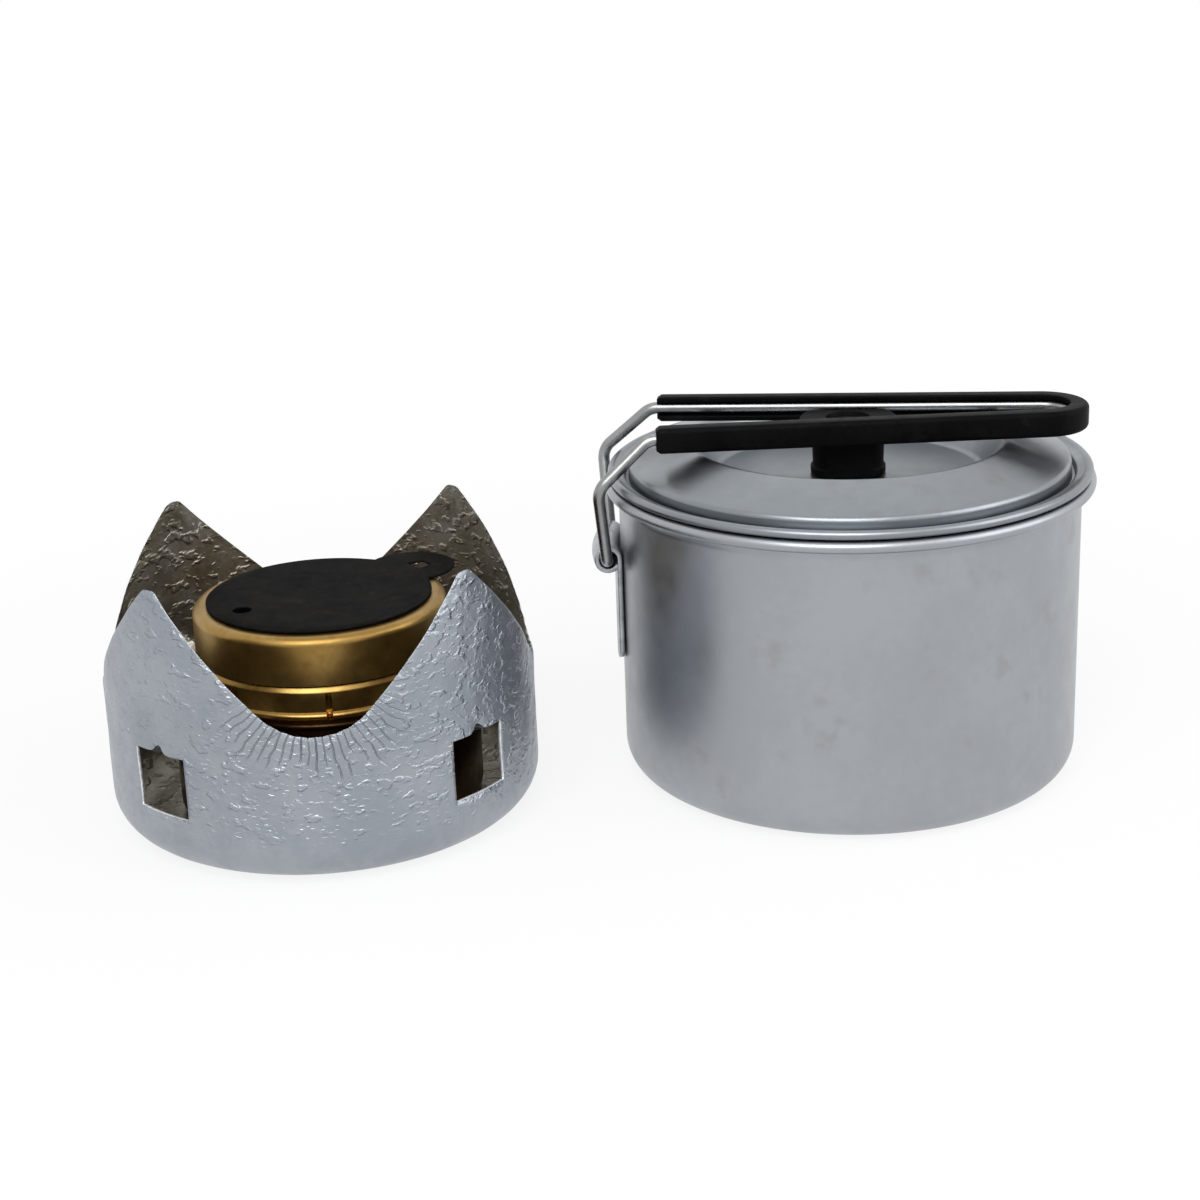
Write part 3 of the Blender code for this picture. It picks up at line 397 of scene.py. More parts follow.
# Rivet made near black with no shine: painted shade for the dark pivot hole around it.
RIVET_PAINTED_SHADE = Finish(
    "rivet_black_painted_shade", (0.0010, 0.0010, 0.0010), (0.0018, 0.0016, 0.0014), 0.0, (0.85, 0.95), 3.0, 0.4,
    specular=0.0, layers=(clouds(0.5, 0.03),))
WIRE_STEEL = Finish(
    "drawn_steel_wire", (0.33, 0.335, 0.34), (0.27, 0.27, 0.268), 1.0, (0.24, 0.34), 14.0, 0.4,
    layers=(clouds(0.6, 0.006),))
GRIP_PLASTIC = Finish(
    "moulded_grip_plastic", (0.0018, 0.0018, 0.0019), (0.004, 0.004, 0.0042), 0.0, (0.42, 0.54), 12.0, 0.4,
    specular=0.04, layers=(clouds(2.2, 0.02), clouds(0.3, 0.012)), stain=(0.008, 0.008, 0.0085))
SEAL_RUBBER = Finish(
    "seal_rubber", (0.02, 0.02, 0.02), (0.035, 0.034, 0.032), 0.0, (0.62, 0.8), 4.0, 0.4,
    specular=0.3, layers=(clouds(0.5, 0.04),))
WICK_FIBRE = Finish(
    "wick_fibre_weave", (0.62, 0.58, 0.48), (0.40, 0.34, 0.25), 0.0, (0.85, 0.98), 5.0, 0.5,
    specular=0.1, layers=(Layer(Pattern.CELLS, 0.8, 0.25, (1.0, 1.0, 2.5)),))


@dataclass
class Patch:
    """A grid of points, rows by columns by three, and how its cells are closed."""

    grid: np.ndarray
    rows_meet: bool = False
    columns_meet: bool = False
    left_out: np.ndarray | None = None

    def quads(self, first: int) -> np.ndarray:
        """Corner numbers of the cells, for points numbered from first.

        Args:
            first: Number of the grid's first point.

        Returns:
            An array of four corner numbers a cell.
        """
        rows, columns = self.grid.shape[:2]
        index = np.arange(rows * columns).reshape(rows, columns) + first
        if self.rows_meet:
            index = np.vstack([index, index[:1]])
        if self.columns_meet:
            index = np.hstack([index, index[:, :1]])
        cells = np.stack([index[:-1, :-1], index[:-1, 1:], index[1:, 1:], index[1:, :-1]], -1)
        return cells.reshape(-1, 4) if self.left_out is None else cells[~self.left_out]


def add_object(name: str, data: bpy.types.ID) -> bpy.types.Object:
    """Make an object of some data, at the origin, and link it into the scene."""
    obj = bpy.data.objects.new(name, data)
    bpy.context.scene.collection.objects.link(obj)
    return obj


def surface(name: str, patches: list[Patch], finish: Finish, crease: float = 40.0,
            weld: float = 0.004) -> bpy.types.Object:
    """Sew patches into one mesh, weld what meets, and turn its faces outwards.

    Args:
        name: Name of the piece.
        patches: Grids of points in millimetres.
        finish: What it is finished in.
        crease: Angle in degrees above which an edge stays sharp.
        weld: Distance in millimetres within which points are one.

    Returns:
        The new object, at the origin.
    """
    points, cells, first = [], [], 0
    for patch in patches:
        flat = patch.grid.reshape(-1, 3) * MM
        points.append(flat)
        cells.append(patch.quads(first))
        first += len(flat)
    mesh = bpy.data.meshes.new(name)
    mesh.from_pydata(np.vstack(points).tolist(), [], np.vstack(cells).tolist())
    edit = bmesh.new()
    edit.from_mesh(mesh)
    bmesh.ops.remove_doubles(edit, verts=edit.verts, dist=weld * MM)
    bmesh.ops.dissolve_degenerate(edit, edges=edit.edges, dist=1e-7)
    bmesh.ops.recalc_face_normals(edit, faces=edit.faces)
    edit.to_mesh(mesh)
    edit.free()
    obj = add_object(name, mesh)
    mesh.materials.append(finish.material())
    mesh.shade_smooth()
    mesh.set_sharp_from_angle(angle=math.radians(crease))
    return obj


def filleted(corners: list[tuple[float, ...]], steps: int = 8) -> np.ndarray:
    """Points along a line whose corners are rounded by arcs.

    An arc starts radius / tan(half angle) before its corner, and its centre is
    radius / sin(half angle) along the bisector.

    Args:
        corners: Coordinates followed by a bend radius, for each corner.
        steps: Parts of each arc.

    Returns:
        An array of points.
    """
    flat = [np.array(corner[:-1], float) for corner in corners]
    lines = [flat[0][None]]
    for before, here, after, corner in zip(flat, flat[1:], flat[2:], corners[1:]):
        radius = corner[-1]
        if radius <= 0.0:
            lines.append(here[None])
            continue
        back = (before - here) / np.linalg.norm(before - here)
        ahead = (after - here) / np.linalg.norm(after - here)
        half = math.acos(float(np.clip(back @ ahead, -1, 1))) / 2
        middle = back + ahead
        centre = here + middle / np.linalg.norm(middle) * radius / math.sin(half)
        first = here + back * radius / math.tan(half) - centre
        last = here + ahead * radius / math.tan(half) - centre
        sweep = math.pi - 2 * half
        turn = np.linspace(0.0, sweep, steps + 1)[:, None]
        across = (last - first * math.cos(sweep)) / math.sin(sweep)
        lines.append(centre + first * np.cos(turn) + across * np.sin(turn))
    lines.append(flat[-1][None])
    return np.vstack(lines)


def arc(centre: Pair, radius: float, start: float, end: float, steps: int) -> np.ndarray:
    """Points at centre + radius (cos a, sin a), for a from start to end degrees."""
    angle = np.radians(np.linspace(start, end, steps + 1))
    return np.stack([centre[0] + radius * np.cos(angle), centre[1] + radius * np.sin(angle)], -1)


def spaced(line: np.ndarray, step: float) -> np.ndarray:
    """Add points to a line so that no part of it is longer than step.

    Args:
        line: Points of the line.
        step: Greatest length in millimetres.

    Returns:
        The points with the new ones between them.
    """
    runs = []
    for start, end in zip(line[:-1], line[1:]):
        count = max(1, int(math.ceil(float(np.linalg.norm(end - start)) / step)))
        runs.append(start + (end - start) * np.arange(count)[:, None] / count)
    return np.vstack(runs + [line[-1:]])


def polar(axis: tuple[float, ...], reach: np.ndarray, angle: np.ndarray, level: np.ndarray) -> np.ndarray:
    """Points at axis + reach (cos a, sin a), at a level."""
    return np.stack([axis[0] + reach * np.cos(angle), axis[1] + reach * np.sin(angle),
                     level + 0.0 * angle], -1)


def about_pot(patch: Patch) -> Patch:
    """Turn a patch by the handle's angle and move it onto the pot's axis."""
    turn = math.radians(HANDLE_TURN)
    x, y = patch.grid[..., 0].copy(), patch.grid[..., 1].copy()
    patch.grid[..., 0] = POT_AXIS[0] + x * math.cos(turn) - y * math.sin(turn)
    patch.grid[..., 1] = POT_AXIS[1] + x * math.sin(turn) + y * math.cos(turn)
    return patch


def turned(profile: np.ndarray, centre: Triple, steps: int, closed: bool = False) -> Patch:
    """Turn a profile of (radius, height) about an upright axis: x = r cos a, y = r sin a, z = height.

    Args:
        profile: Points of the profile.
        centre: Where the axis stands.
        steps: Columns round the axis.
        closed: Whether the profile is a loop.

    Returns:
        The patch.
    """
    angle = np.linspace(0.0, 2 * np.pi, steps, endpoint=False)
    grid = polar(centre, profile[:, 0:1], angle, profile[:, 1:2])
    return Patch(grid, rows_meet=closed, columns_meet=True)


def carried(path: np.ndarray, section: np.ndarray, upright: bool = False) -> Patch:
    """Carry a closed section along a path, and close both ends onto the path.

    A point is path + side * section x + top * section y. The side starts level and is carried
    along by taking out its part along the path's direction.

    Args:
        path: Points of the path.
        section: Closed section about the path, or one section for each point.
        upright: Whether the section's own y always stays upright.

    Returns:
        The patch.
    """
    way = np.gradient(path, axis=0)
    way /= np.linalg.norm(way, axis=1, keepdims=True)
    sides = np.empty_like(path)
    side = np.cross(way[0], (0.0, 0.0, 1.0) if abs(way[0][2]) < 0.9 else (1.0, 0.0, 0.0))
    for station, ahead in enumerate(way):
        side = np.cross(ahead, (0.0, 0.0, 1.0)) if upright else side - ahead * (side @ ahead)
        side = side / np.linalg.norm(side)
        sides[station] = side
    tops = np.cross(sides, way)
    sections = section if section.ndim == 3 else np.repeat(section[None], len(path), 0)
    rings = path[:, None] + sides[:, None] * sections[..., 0:1] + tops[:, None] * sections[..., 1:2]
    ends = [np.repeat(path[:1, None], rings.shape[1], 1), np.repeat(path[-1:, None], rings.shape[1], 1)]
    return Patch(np.concatenate([ends[0], rings, ends[1]]), columns_meet=True)


def place(obj: bpy.types.Object, body: str, slot: str, *nodes: str) -> bpy.types.Object:
    """Let a piece ride on its body, hide the nodes it stands for, and log it.

    Args:
        obj: The finished piece.
        body: The body that carries it.
        slot: The record's material slot; not used.
        nodes: CAD nodes that it replaces.

    Returns:
        The piece.
    """
    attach(obj, body)
    if nodes:
        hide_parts(*nodes)
    LOG.info("%s rides on %s, %d faces", obj.name, body, len(obj.data.polygons))
    return obj


def redress(finish: Finish, *nodes: str) -> None:
    """Give CAD nodes that stay visible a finish of their own."""
    for node in nodes:
        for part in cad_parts[node].material_slots:
            part.material = finish.material()
        LOG.info("%s is finished in %s", node, finish.name)


@dataclass
class Windshield:
    """Drawn cup with four notches, four windows and their bent-in flaps.

    A window is its width, sill and head, and the arch over it its height, half width and fade. A flap
    is its length and slope in degrees, its bend the depth and fade of its rounding, and its rib the
    height and half width. A pleat is its depth, spacing and fade, the lip its depth and fade, and a
    dart its depth and half width. Columns are those between and across the windows, and rows those
    below, beside and above them.
    """

    radius: float = 53.5
    sheet: float = 0.8
    corner: float = 10.0
    tip: float = 70.2
    lean_start: float = 44.1
    lean_radius: float = 190.0
    notch_bottom: float = 37.7
    notch_round: float = 18.3
    window: Triple = (16.7, 15.0, 30.4)
    flap: Pair = (14.2, 20.0)
    flap_bend: Pair = (0.35, 1.2)
    flap_rib: Pair = (0.75, 1.5)
    flap_taper: float = 0.035
    tip_round: float = 0.6
    edge_lift: float = 0.02
    arch: Triple = (1.9, 1.7, 2.6)
    pleat: Triple = (0.42, 3.2, 4.2)
    pleat_reach: float = 15.0
    lip: Pair = (0.30, 0.9)
    dart: Pair = (0.55, 1.5)
    dent: float = 0.22
    columns: tuple[int, int] = (40, 22)
    rows: tuple[int, int, int] = (3, 12, 34)

    def reach(self, height: np.ndarray) -> np.ndarray:
        """Wall radius at a height: upright, then R - (L - sqrt(L^2 - (z - start)^2))."""
        rise = np.clip(height - self.lean_start, 0.0, None)
        return self.radius - (self.lean_radius - np.sqrt(self.lean_radius ** 2 - rise ** 2))

    def edge(self, angle: np.ndarray) -> np.ndarray:
        """Height of the cut edge: a circle at each notch's bottom, then 45 degree sides.

        The tips are rounded off by the soft minimum (a + b - sqrt((a - b)^2 + s^2)) / 2.
        """
        along = self.radius * np.abs((angle + np.pi / 4) % (np.pi / 2) - np.pi / 4)
        turn = self.notch_round * math.sin(math.pi / 4)
        sunk = np.sqrt(self.notch_round ** 2 - np.minimum(along, turn) ** 2)
        line = self.notch_bottom + self.notch_round - sunk + np.clip(along - turn, 0.0, None)
        rounded = 0.5 * (line + self.tip - np.sqrt((line - self.tip) ** 2 + self.tip_round ** 2))
        return rounded + self.edge_lift

    def angles(self) -> np.ndarray:
        """Columns round the wall, with one on each side of every window."""
        half = math.asin(self.window[0] / 2 / self.radius)
        wide, narrow = self.columns
        quarter = np.concatenate([np.linspace(0.0, np.pi / 4 - half, wide, endpoint=False),
                                  np.linspace(np.pi / 4 - half, np.pi / 4 + half, narrow, endpoint=False),
                                  np.linspace(np.pi / 4 + half, np.pi / 2, wide, endpoint=False)])
        return np.concatenate([quarter + turn * np.pi / 2 for turn in range(4)])

    def crinkle(self, angle: np.ndarray, height: np.ndarray) -> np.ndarray:
        """How far the wall is pressed in: pleats under each notch, hand dents and a dart over each window.

        Pleats are a raised cosine along the edge, fading with the distance below it, and lie under the
        fine creases of the finish. The lip draws the edge in. A dart is a narrow bell above the
        window's middle.

        Args:
            angle: Angle about the windshield's axis.
            height: Height over the floor in millimetres.

        Returns:
            The depth in millimetres.
        """
        pressed, spacing, fade = self.pleat
        along = self.radius * ((angle + np.pi / 4) % (np.pi / 2) - np.pi / 4)
        below = self.edge(angle) - height
        sway = 0.35 * np.sin(3.1 * along + 4.0 * np.sin(2.0 * angle))
        pleat = 0.5 + 0.5 * np.cos(2 * np.pi * along / spacing + sway)
        pleat = pleat * np.exp(-np.clip(below, 0, None) / fade)
        pleat *= np.clip(1.25 - (np.abs(along) / self.pleat_reach) ** 2, 0.0, 1.0)
        lip = self.lip[0] * np.exp(-np.clip(below, 0, None) / self.lip[1])
        across = self.radius * ((angle % (np.pi / 2)) - np.pi / 4)
        dart = np.exp(-(across / self.dart[1]) ** 2) * np.exp(-((height - self.window[2] - 1.3) / 1.6) ** 2)
        dents = 0.5 + 0.25 * np.sin(19 * angle + 0.31 * height)
        dents = dents + 0.25 * np.sin(31 * angle - 0.23 * height + 1.3)
        upper = np.clip((height - 12.0) / 8.0, 0.0, 1.0)
        return pressed * pleat + lip + self.dart[0] * dart + self.dent * dents * upper

    def wall(self) -> list[Patch]:
        """Floor, rounded corner and wall as one grid, with the windows left open."""
        angle = self.angles()
        sill, head = self.window[1:]
        below, beside, above = self.rows
        floor = np.stack([np.linspace(0.0, self.radius - self.corner, 12, endpoint=False), np.zeros(12)], -1)
        bend = arc((self.radius - self.corner, self.corner), self.corner, -90, 0, 10)
        low = np.vstack([floor, bend])
        heights = np.concatenate([np.linspace(self.corner, sill, below + 1)[1:],
                                  np.linspace(sill, head, beside + 1)[1:]])
        flat = np.concatenate([low[:, 1], heights])
        reach = np.concatenate([low[:, 0], np.full(len(heights), self.radius)])
        level = np.repeat(flat[:, None], len(angle), 1)
        out = np.repeat(reach[:, None], len(angle), 1)
        share = np.linspace(0.0, 1.0, above + 1)[1:, None]
        ease = 1.0 - (1.0 - share) ** 1.5
        upper = head + (self.edge(angle)[None] - head) * ease
        level = np.vstack([level, upper])
        out = np.vstack([out, self.reach(upper)])
        across = self.radius * ((angle[None] % (np.pi / 2)) - np.pi / 4)
        rise, half, fade = self.arch
        arch = np.exp(-(across / half) ** 2) * np.exp(-((level - head) / fade) ** 2)
        level = level + rise * arch
        raised = level >= self.corner
        out = np.where(raised, out - self.crinkle(angle[None], level), out)
        grid = polar((0.0, 0.0), out, angle, level)
        first = len(low) + below - 1
        last = first + beside
        left_out = np.zeros((len(level) - 1, len(angle)), bool)
        wide, narrow = self.columns
        patches = [Patch(grid, columns_meet=True, left_out=left_out)]
        for turn in range(4):
            start = turn * (2 * wide + narrow) + wide
            left_out[first:last, start:start + narrow] = True
            patches.append(self.bent_flap(grid[last, start:start + narrow + 1], turn))
        return patches

    def bent_flap(self, hinge: np.ndarray, turn: int) -> Patch:
        """A flap as straight lines from the window's head, inward and down, with a pressed rib.

        Args:
            hinge: Points of the wall along the window's head.
            turn: Number of the window.

        Returns:
            The patch, from the flap's tip up to the hinge.
        """
        length, slope = self.flap
        facing = math.pi / 4 + turn * math.pi / 2
        inward = -np.array([math.cos(facing), math.sin(facing), 0.0])
        beside = np.array([-math.sin(facing), math.cos(facing), 0.0])
        share = np.linspace(1.0, 0.0, 16)[:, None, None]
        drop = math.radians(slope)
        bend = 1.0 - np.exp(-share * length / self.flap_bend[1])
        run = share * length * math.cos(drop)
        fall = share * length * math.sin(drop) + self.flap_bend[0] * bend
        height, half = self.flap_rib
        rib = height * np.exp(-((hinge @ beside) / half) ** 2) * np.ones_like(share[..., 0])
        rib = rib * np.clip(1.25 - 1.1 * share[..., 0], 0.0, 1.0) * np.clip(share[..., 0] * 9.0, 0.0, 1.0)
        narrow = 1.0 - self.flap_taper * np.clip(share * 6.0, 0.0, 1.0)
        middle = (hinge @ beside)[:, None] * beside
        base = hinge[None] - middle[None] * (1.0 - narrow)
        flat = (hinge @ -inward)
        straight = (flat - flat.min())[None, :, None] * inward * share
        grid = base + straight + inward * run - np.array([0.0, 0.0, 1.0]) * fall
        grid[..., 2] += rib
        return Patch(grid)

    def map_folds(self, mesh: bpy.types.Mesh) -> None:
        """Write the UV map that the creases read: distance round a notch's circle, and depth below it.

        Args:
            mesh: The sheet's mesh.
        """
        loops = np.empty(len(mesh.loops), np.int64)
        mesh.loops.foreach_get("vertex_index", loops)
        points = np.array([vertex.co for vertex in mesh.vertices])[loops] / MM
        counts = [len(face.vertices) for face in mesh.polygons]
        middle = np.repeat(np.array([face.center for face in mesh.polygons]), counts, 0)
        notch = np.round(np.arctan2(middle[:, 1], middle[:, 0]) / (np.pi / 2)) * np.pi / 2
        swing = np.arctan2(points[:, 1], points[:, 0]) - notch
        along = self.radius * ((swing + np.pi) % (2 * np.pi) - np.pi)
        drop = self.notch_bottom + self.notch_round - points[:, 2]
        angle = np.arctan2(along, np.maximum(drop, 0.01))
        depth = np.hypot(along, drop) - self.notch_round
        fold = mesh.uv_layers.new(name="fold")
        fold.data.foreach_set("uv", np.stack([self.notch_round * angle, depth], -1).ravel())

    def build(self) -> None:
        """Sew the cup, give the sheet its thickness and cut edges that are bare metal with a painted
        highlight, and place it.
        """
        cup = surface("windshield_sheet", self.wall(), HAMMERED, crease=38.0)
        normals = np.array([face.normal for face in cup.data.polygons])
        centres = np.array([face.center for face in cup.data.polygons]) - np.array([0.0, 0.0, 0.03])
        if float((normals * centres).sum()) < 0.0:
            cup.data.flip_normals()
        self.map_folds(cup.data)
        cup.data.materials.append(INNER_SKIN.material())
        cup.data.materials.append(CUT_EDGE_AND_HIGHLIGHT.material())
        wall = cup.modifiers.new("sheet", "SOLIDIFY")
        wall.thickness = self.sheet * MM
        wall.offset = -1.0
        wall.material_offset = 1
        # The rim faces take the cut-edge finish, a painted highlight on bare metal.
        wall.material_offset_rim = 2
        wall.use_even_offset = True
        wall.thickness_clamp = 1.0
        place(cup, "windshield", "textured_aluminium", "windshield")


@dataclass
class Burner:
    """Brass tank with its threaded neck. The sleeve, the wick and the rubber ring stay CAD nodes."""

    tank: float = 38.2
    low: float = 1.1
    high: float = 30.0
    corner: float = 4.0
    neck: float = 28.0
    neck_top: float = 43.0
    sheet: float = 0.8
    pitch: float = 3.0
    thread_foot: float = 33.2
    thread_crest: float = 40.8
    thread_depth: float = 0.8
    steps: int = 144

    def build(self) -> None:
        """Turn the tank, and dress the sleeve, the wick and the rubber ring.

        The outer line's first point only gives the neck's direction, and is left out of the profile.
        """
        outer = filleted([(self.neck, 40.0, 0.0), (self.neck, self.high, 1.2),
                          (self.tank, self.high, self.corner), (self.tank, self.low, self.corner),
                          (0.0, self.low, 0.0)], 10)
        level = np.linspace(self.neck_top, self.thread_foot, 60)
        wave = np.cos(2 * np.pi * (level - self.thread_crest) / self.pitch)
        ridge = self.thread_depth * np.clip(wave, 0.0, 1.0) ** 1.5
        ridge *= np.clip((self.neck_top - 0.6 - level) / 0.8, 0.0, 1.0)
        thread = np.stack([self.neck + ridge, level], -1)
        inner = filleted([(0.0, self.low + self.sheet, 0.0),
                          (self.tank - self.sheet, self.low + self.sheet, self.corner - self.sheet),
                          (self.tank - self.sheet, self.high - self.sheet, self.corner - self.sheet),
                          (self.neck - self.sheet, self.high - self.sheet, 0.8),
                          (self.neck - self.sheet, self.neck_top, 0.0)], 6)
        # The tank takes the brass darkened as painted shade.
        tank = surface("brass_tank", [turned(np.vstack([inner, thread, outer[1:]]), BURNER_AXIS, self.steps)],
                       SHADED_TANK_BRASS)
        place(tank, "burner", "brass", "burner_tank")
        redress(RING_BRASS, "burner_sleeve")
        redress(WICK_FIBRE, "burner_wick")
        redress(SEAL_RUBBER, "cap_seal")


@dataclass
class ScrewCap:
    """Screw cap with a rounded shoulder, finger flutes and a bead at its foot.

    A flute is half its width and its depth, and the turn in degrees places the first of them.
    """

    bore: float = 29.5
    top: float = 47.15
    upper: float = 30.2
    side: float = 31.3
    bead: float = 32.2
    foot: float = 33.4
    shoulder: float = 41.55
    flutes: int = 8
    flute: Pair = (0.75, 1.5)
    flute_top: float = 39.55
    bead_half: float = 0.9
    ceiling: float = 46.4
    turn: float = 3.0
    steps: int = 900

    def build(self) -> None:
        """Turn the cap and press the flutes in, each with half an ellipse as its section."""
        half = self.bead_half
        profile = np.vstack([
            [[0.0, self.top], [8.0, self.top], [18.0, self.top]],
            arc((self.upper - 1.0, self.top - 1.0), 1.0, 90, 0, 8),
            filleted([(self.upper, self.shoulder + 0.6, 0.0), (self.upper, self.shoulder, 0.2),
                      (self.upper + 0.35, self.shoulder - 0.05, 0.3), (self.side, self.shoulder - 1.25, 0.8),
                      (self.side, self.flute_top - 1.0, 0.0)], 6),
            spaced(np.array([[self.side, self.flute_top - 1.2],
                             [self.side, self.foot + 2 * half + 0.15]]), 0.35),
            arc((self.bead - half, self.foot + half), half, 68, -90, 14),
            [[self.bore, self.foot], [self.bore, self.ceiling], [0.0, self.ceiling]]])
        patch = turned(profile, BURNER_AXIS, self.steps)
        x, y = patch.grid[..., 0] - BURNER_AXIS[0], patch.grid[..., 1]
        radius, angle = np.hypot(x, y), np.arctan2(y, x)
        part = 2 * np.pi / self.flutes
        centre = -np.pi / 2 + math.radians(self.turn)
        along = self.side * ((angle - centre + part / 2) % part - part / 2)
        height = patch.grid[..., 2]
        run = 1.0 / (1.0 + np.exp((height - self.flute_top) / 0.12))
        dip = self.flute[1] * np.sqrt(np.clip(1.0 - (along / self.flute[0]) ** 2, 0.0, 1.0)) * run
        outer = (radius > self.upper - 0.1) & (height > self.foot + 0.05)
        factor = np.where(outer, (radius - dip) / np.maximum(radius, 1e-6), 1.0)
        patch.grid[..., 0] = BURNER_AXIS[0] + x * factor
        patch.grid[..., 1] = y * factor
        cap = surface("screw_cap", [patch], AGED_BRASS, crease=45.0)
        place(cap, "cap", "brass", "burner_cap")


@dataclass
class SimmerRing:
    """Brass ring over the cap, with the black plate that swings on its rivet.

    The tab's circle (x, y, radius) and the corners of its hole are measured from the burner's axis,
    and the pivot (x, y, radius) from the frame's origin. The bore is cut from its foot to its top.
    """

    outer: float = 31.4
    inner: float = 30.6
    foot: float = 41.85
    top: float = 53.95
    opening: float = 16.5
    round: float = 2.1
    sheet: float = 0.8
    plate: float = 27.9
    plate_foot: float = 54.25
    plate_top: float = 54.85
    tab: Triple = (22.9, 17.6, 11.3)
    hole: tuple[Pair, ...] = ((22.1, 19.8), (25.1, 14.7), (28.2, 17.9), (26.1, 21.4))
    hole_round: float = 0.7
    pivot: Triple = (-17.4, -9.4, 2.4)
    bore: Pair = (52.5, 56.5)
    lip: float = 0.16
    crease: float = 50.0

    def ring(self) -> None:
        """Turn the ring: a flat top, a rounded edge and an upright side of thin sheet."""
        out = filleted([(self.opening, self.top, 0.0), (self.outer, self.top, self.round),
                        (self.outer, self.foot + 0.15, 0.0)], 14)
        under = filleted([(self.inner, self.foot, 0.0),
                          (self.inner, self.top - self.sheet, self.round - self.sheet),
                          (self.opening, self.top - self.sheet, 0.0)], 10)
        patch = turned(np.vstack([out, under]), BURNER_AXIS, 192, closed=True)
        ring = surface("simmer_ring_shell", [patch], RING_BRASS)
        place(ring, "simmer_ring", "brass", "simmer_ring")

    def outline(self, angle: np.ndarray, eye: np.ndarray) -> np.ndarray:
        """Distance from the tab's eye to the plate's edge: the farther hit on its two circles.

        Args:
            angle: Directions from the eye.
            eye: The middle of the tab's hole.

        Returns:
            The distances, to the disc's circle or the tab's.
        """
        way = np.stack([np.cos(angle), np.sin(angle)], -1)
        best = np.zeros(len(angle))
        for x, y, radius in ((0.0, 0.0, self.plate), self.tab):
            offset = eye - np.array([x, y])
            half = way @ offset
            inside = half ** 2 - offset @ offset + radius ** 2
            hit = np.where(inside > 0, -half + np.sqrt(np.clip(inside, 0, None)), 0.0)
            best = np.maximum(best, hit)
        return best

    def plate_patch(self) -> Patch:
        """The plate as rings between its eye and its outline, through its thickness, with soft edges."""
        corners = np.array(self.hole)
        eye = corners.mean(0)
        start = (*(corners[0] + corners[-1]) / 2, 0.0)
        edge = filleted([start, *[(*corner, self.hole_round) for corner in corners], start], 6)
        edge = spaced(edge, 0.3)[:-1] - eye
        order = np.argsort(np.arctan2(edge[:, 1], edge[:, 0]))
        hole_angle = np.arctan2(edge[order, 1], edge[order, 0])
        hole_reach = np.hypot(edge[order, 0], edge[order, 1])
        angle = np.linspace(-np.pi, np.pi, 480, endpoint=False)
        inner = np.interp(angle, hole_angle, hole_reach, period=2 * np.pi)
        outer = self.outline(angle, eye)
        lip, half = self.lip, (self.plate_top - self.plate_foot) / 2
        middle = self.plate_foot + half
        loop = [(0.0, -1), (0.0, 1), (lip, 1)] + [(share, 1) for share in np.linspace(0.06, 0.94, 22)]
        loop += [(-lip, 1), (None, 1), (None, -1), (-lip, -1)] + [(share, -1) for share in (0.9, 0.5, 0.1)]
        loop += [(lip, -1)]
        rows = []
        for share, side in loop:
            if share is None:
                reach, level = outer, middle + side * half * 0.55
            elif share == 0.0:
                reach, level = inner, middle + side * half * 0.55
            elif share == lip:
                reach, level = inner + lip, middle + side * half
            elif share == -lip:
                reach, level = outer - lip, middle + side * half
            else:
                reach, level = inner + lip + (outer - inner - 2 * lip) * share, middle + side * half
            rows.append(polar((BURNER_AXIS[0] + eye[0], eye[1]), reach, angle, level))
        return Patch(np.stack(rows), rows_meet=True, columns_meet=True)

    def build(self) -> None:
        """Build the ring and the plate, bore the plate at its pivot, and dress the rivet in painted shade and
        the washer in steel.
        """
        self.ring()
        plate = surface("simmer_plate_disc", [self.plate_patch()], BLACK_PLATE, self.crease)
        (x, y, radius), (foot, top) = self.pivot, self.bore
        loop = np.array([[0.0, top], [radius, top], [radius, foot], [0.0, foot]])
        bore = surface("pivot_bore", [turned(loop, (x, y, 0.0), 48)], BLACK_PLATE)
        cut = plate.modifiers.new("bore", "BOOLEAN")
        cut.object = bore
        cut.operation = "DIFFERENCE"
        cut.solver = "EXACT"
        bpy.context.view_layer.update()
        graph = bpy.context.evaluated_depsgraph_get()
        bored = bpy.data.meshes.new_from_object(plate.evaluated_get(graph))
        plate.modifiers.clear()
        plate.data = bored
        bpy.data.objects.remove(bore, do_unlink=True)
        bored.shade_smooth()
        bored.set_sharp_from_angle(angle=math.radians(self.crease))
        place(plate, "simmer_plate", "blackened_steel", "simmer_plate")
        # The rivet takes near-black painted shade instead of its steel colour.
        redress(RIVET_PAINTED_SHADE, "simmer_rivet")
        redress(WIRE_STEEL, "simmer_washer")


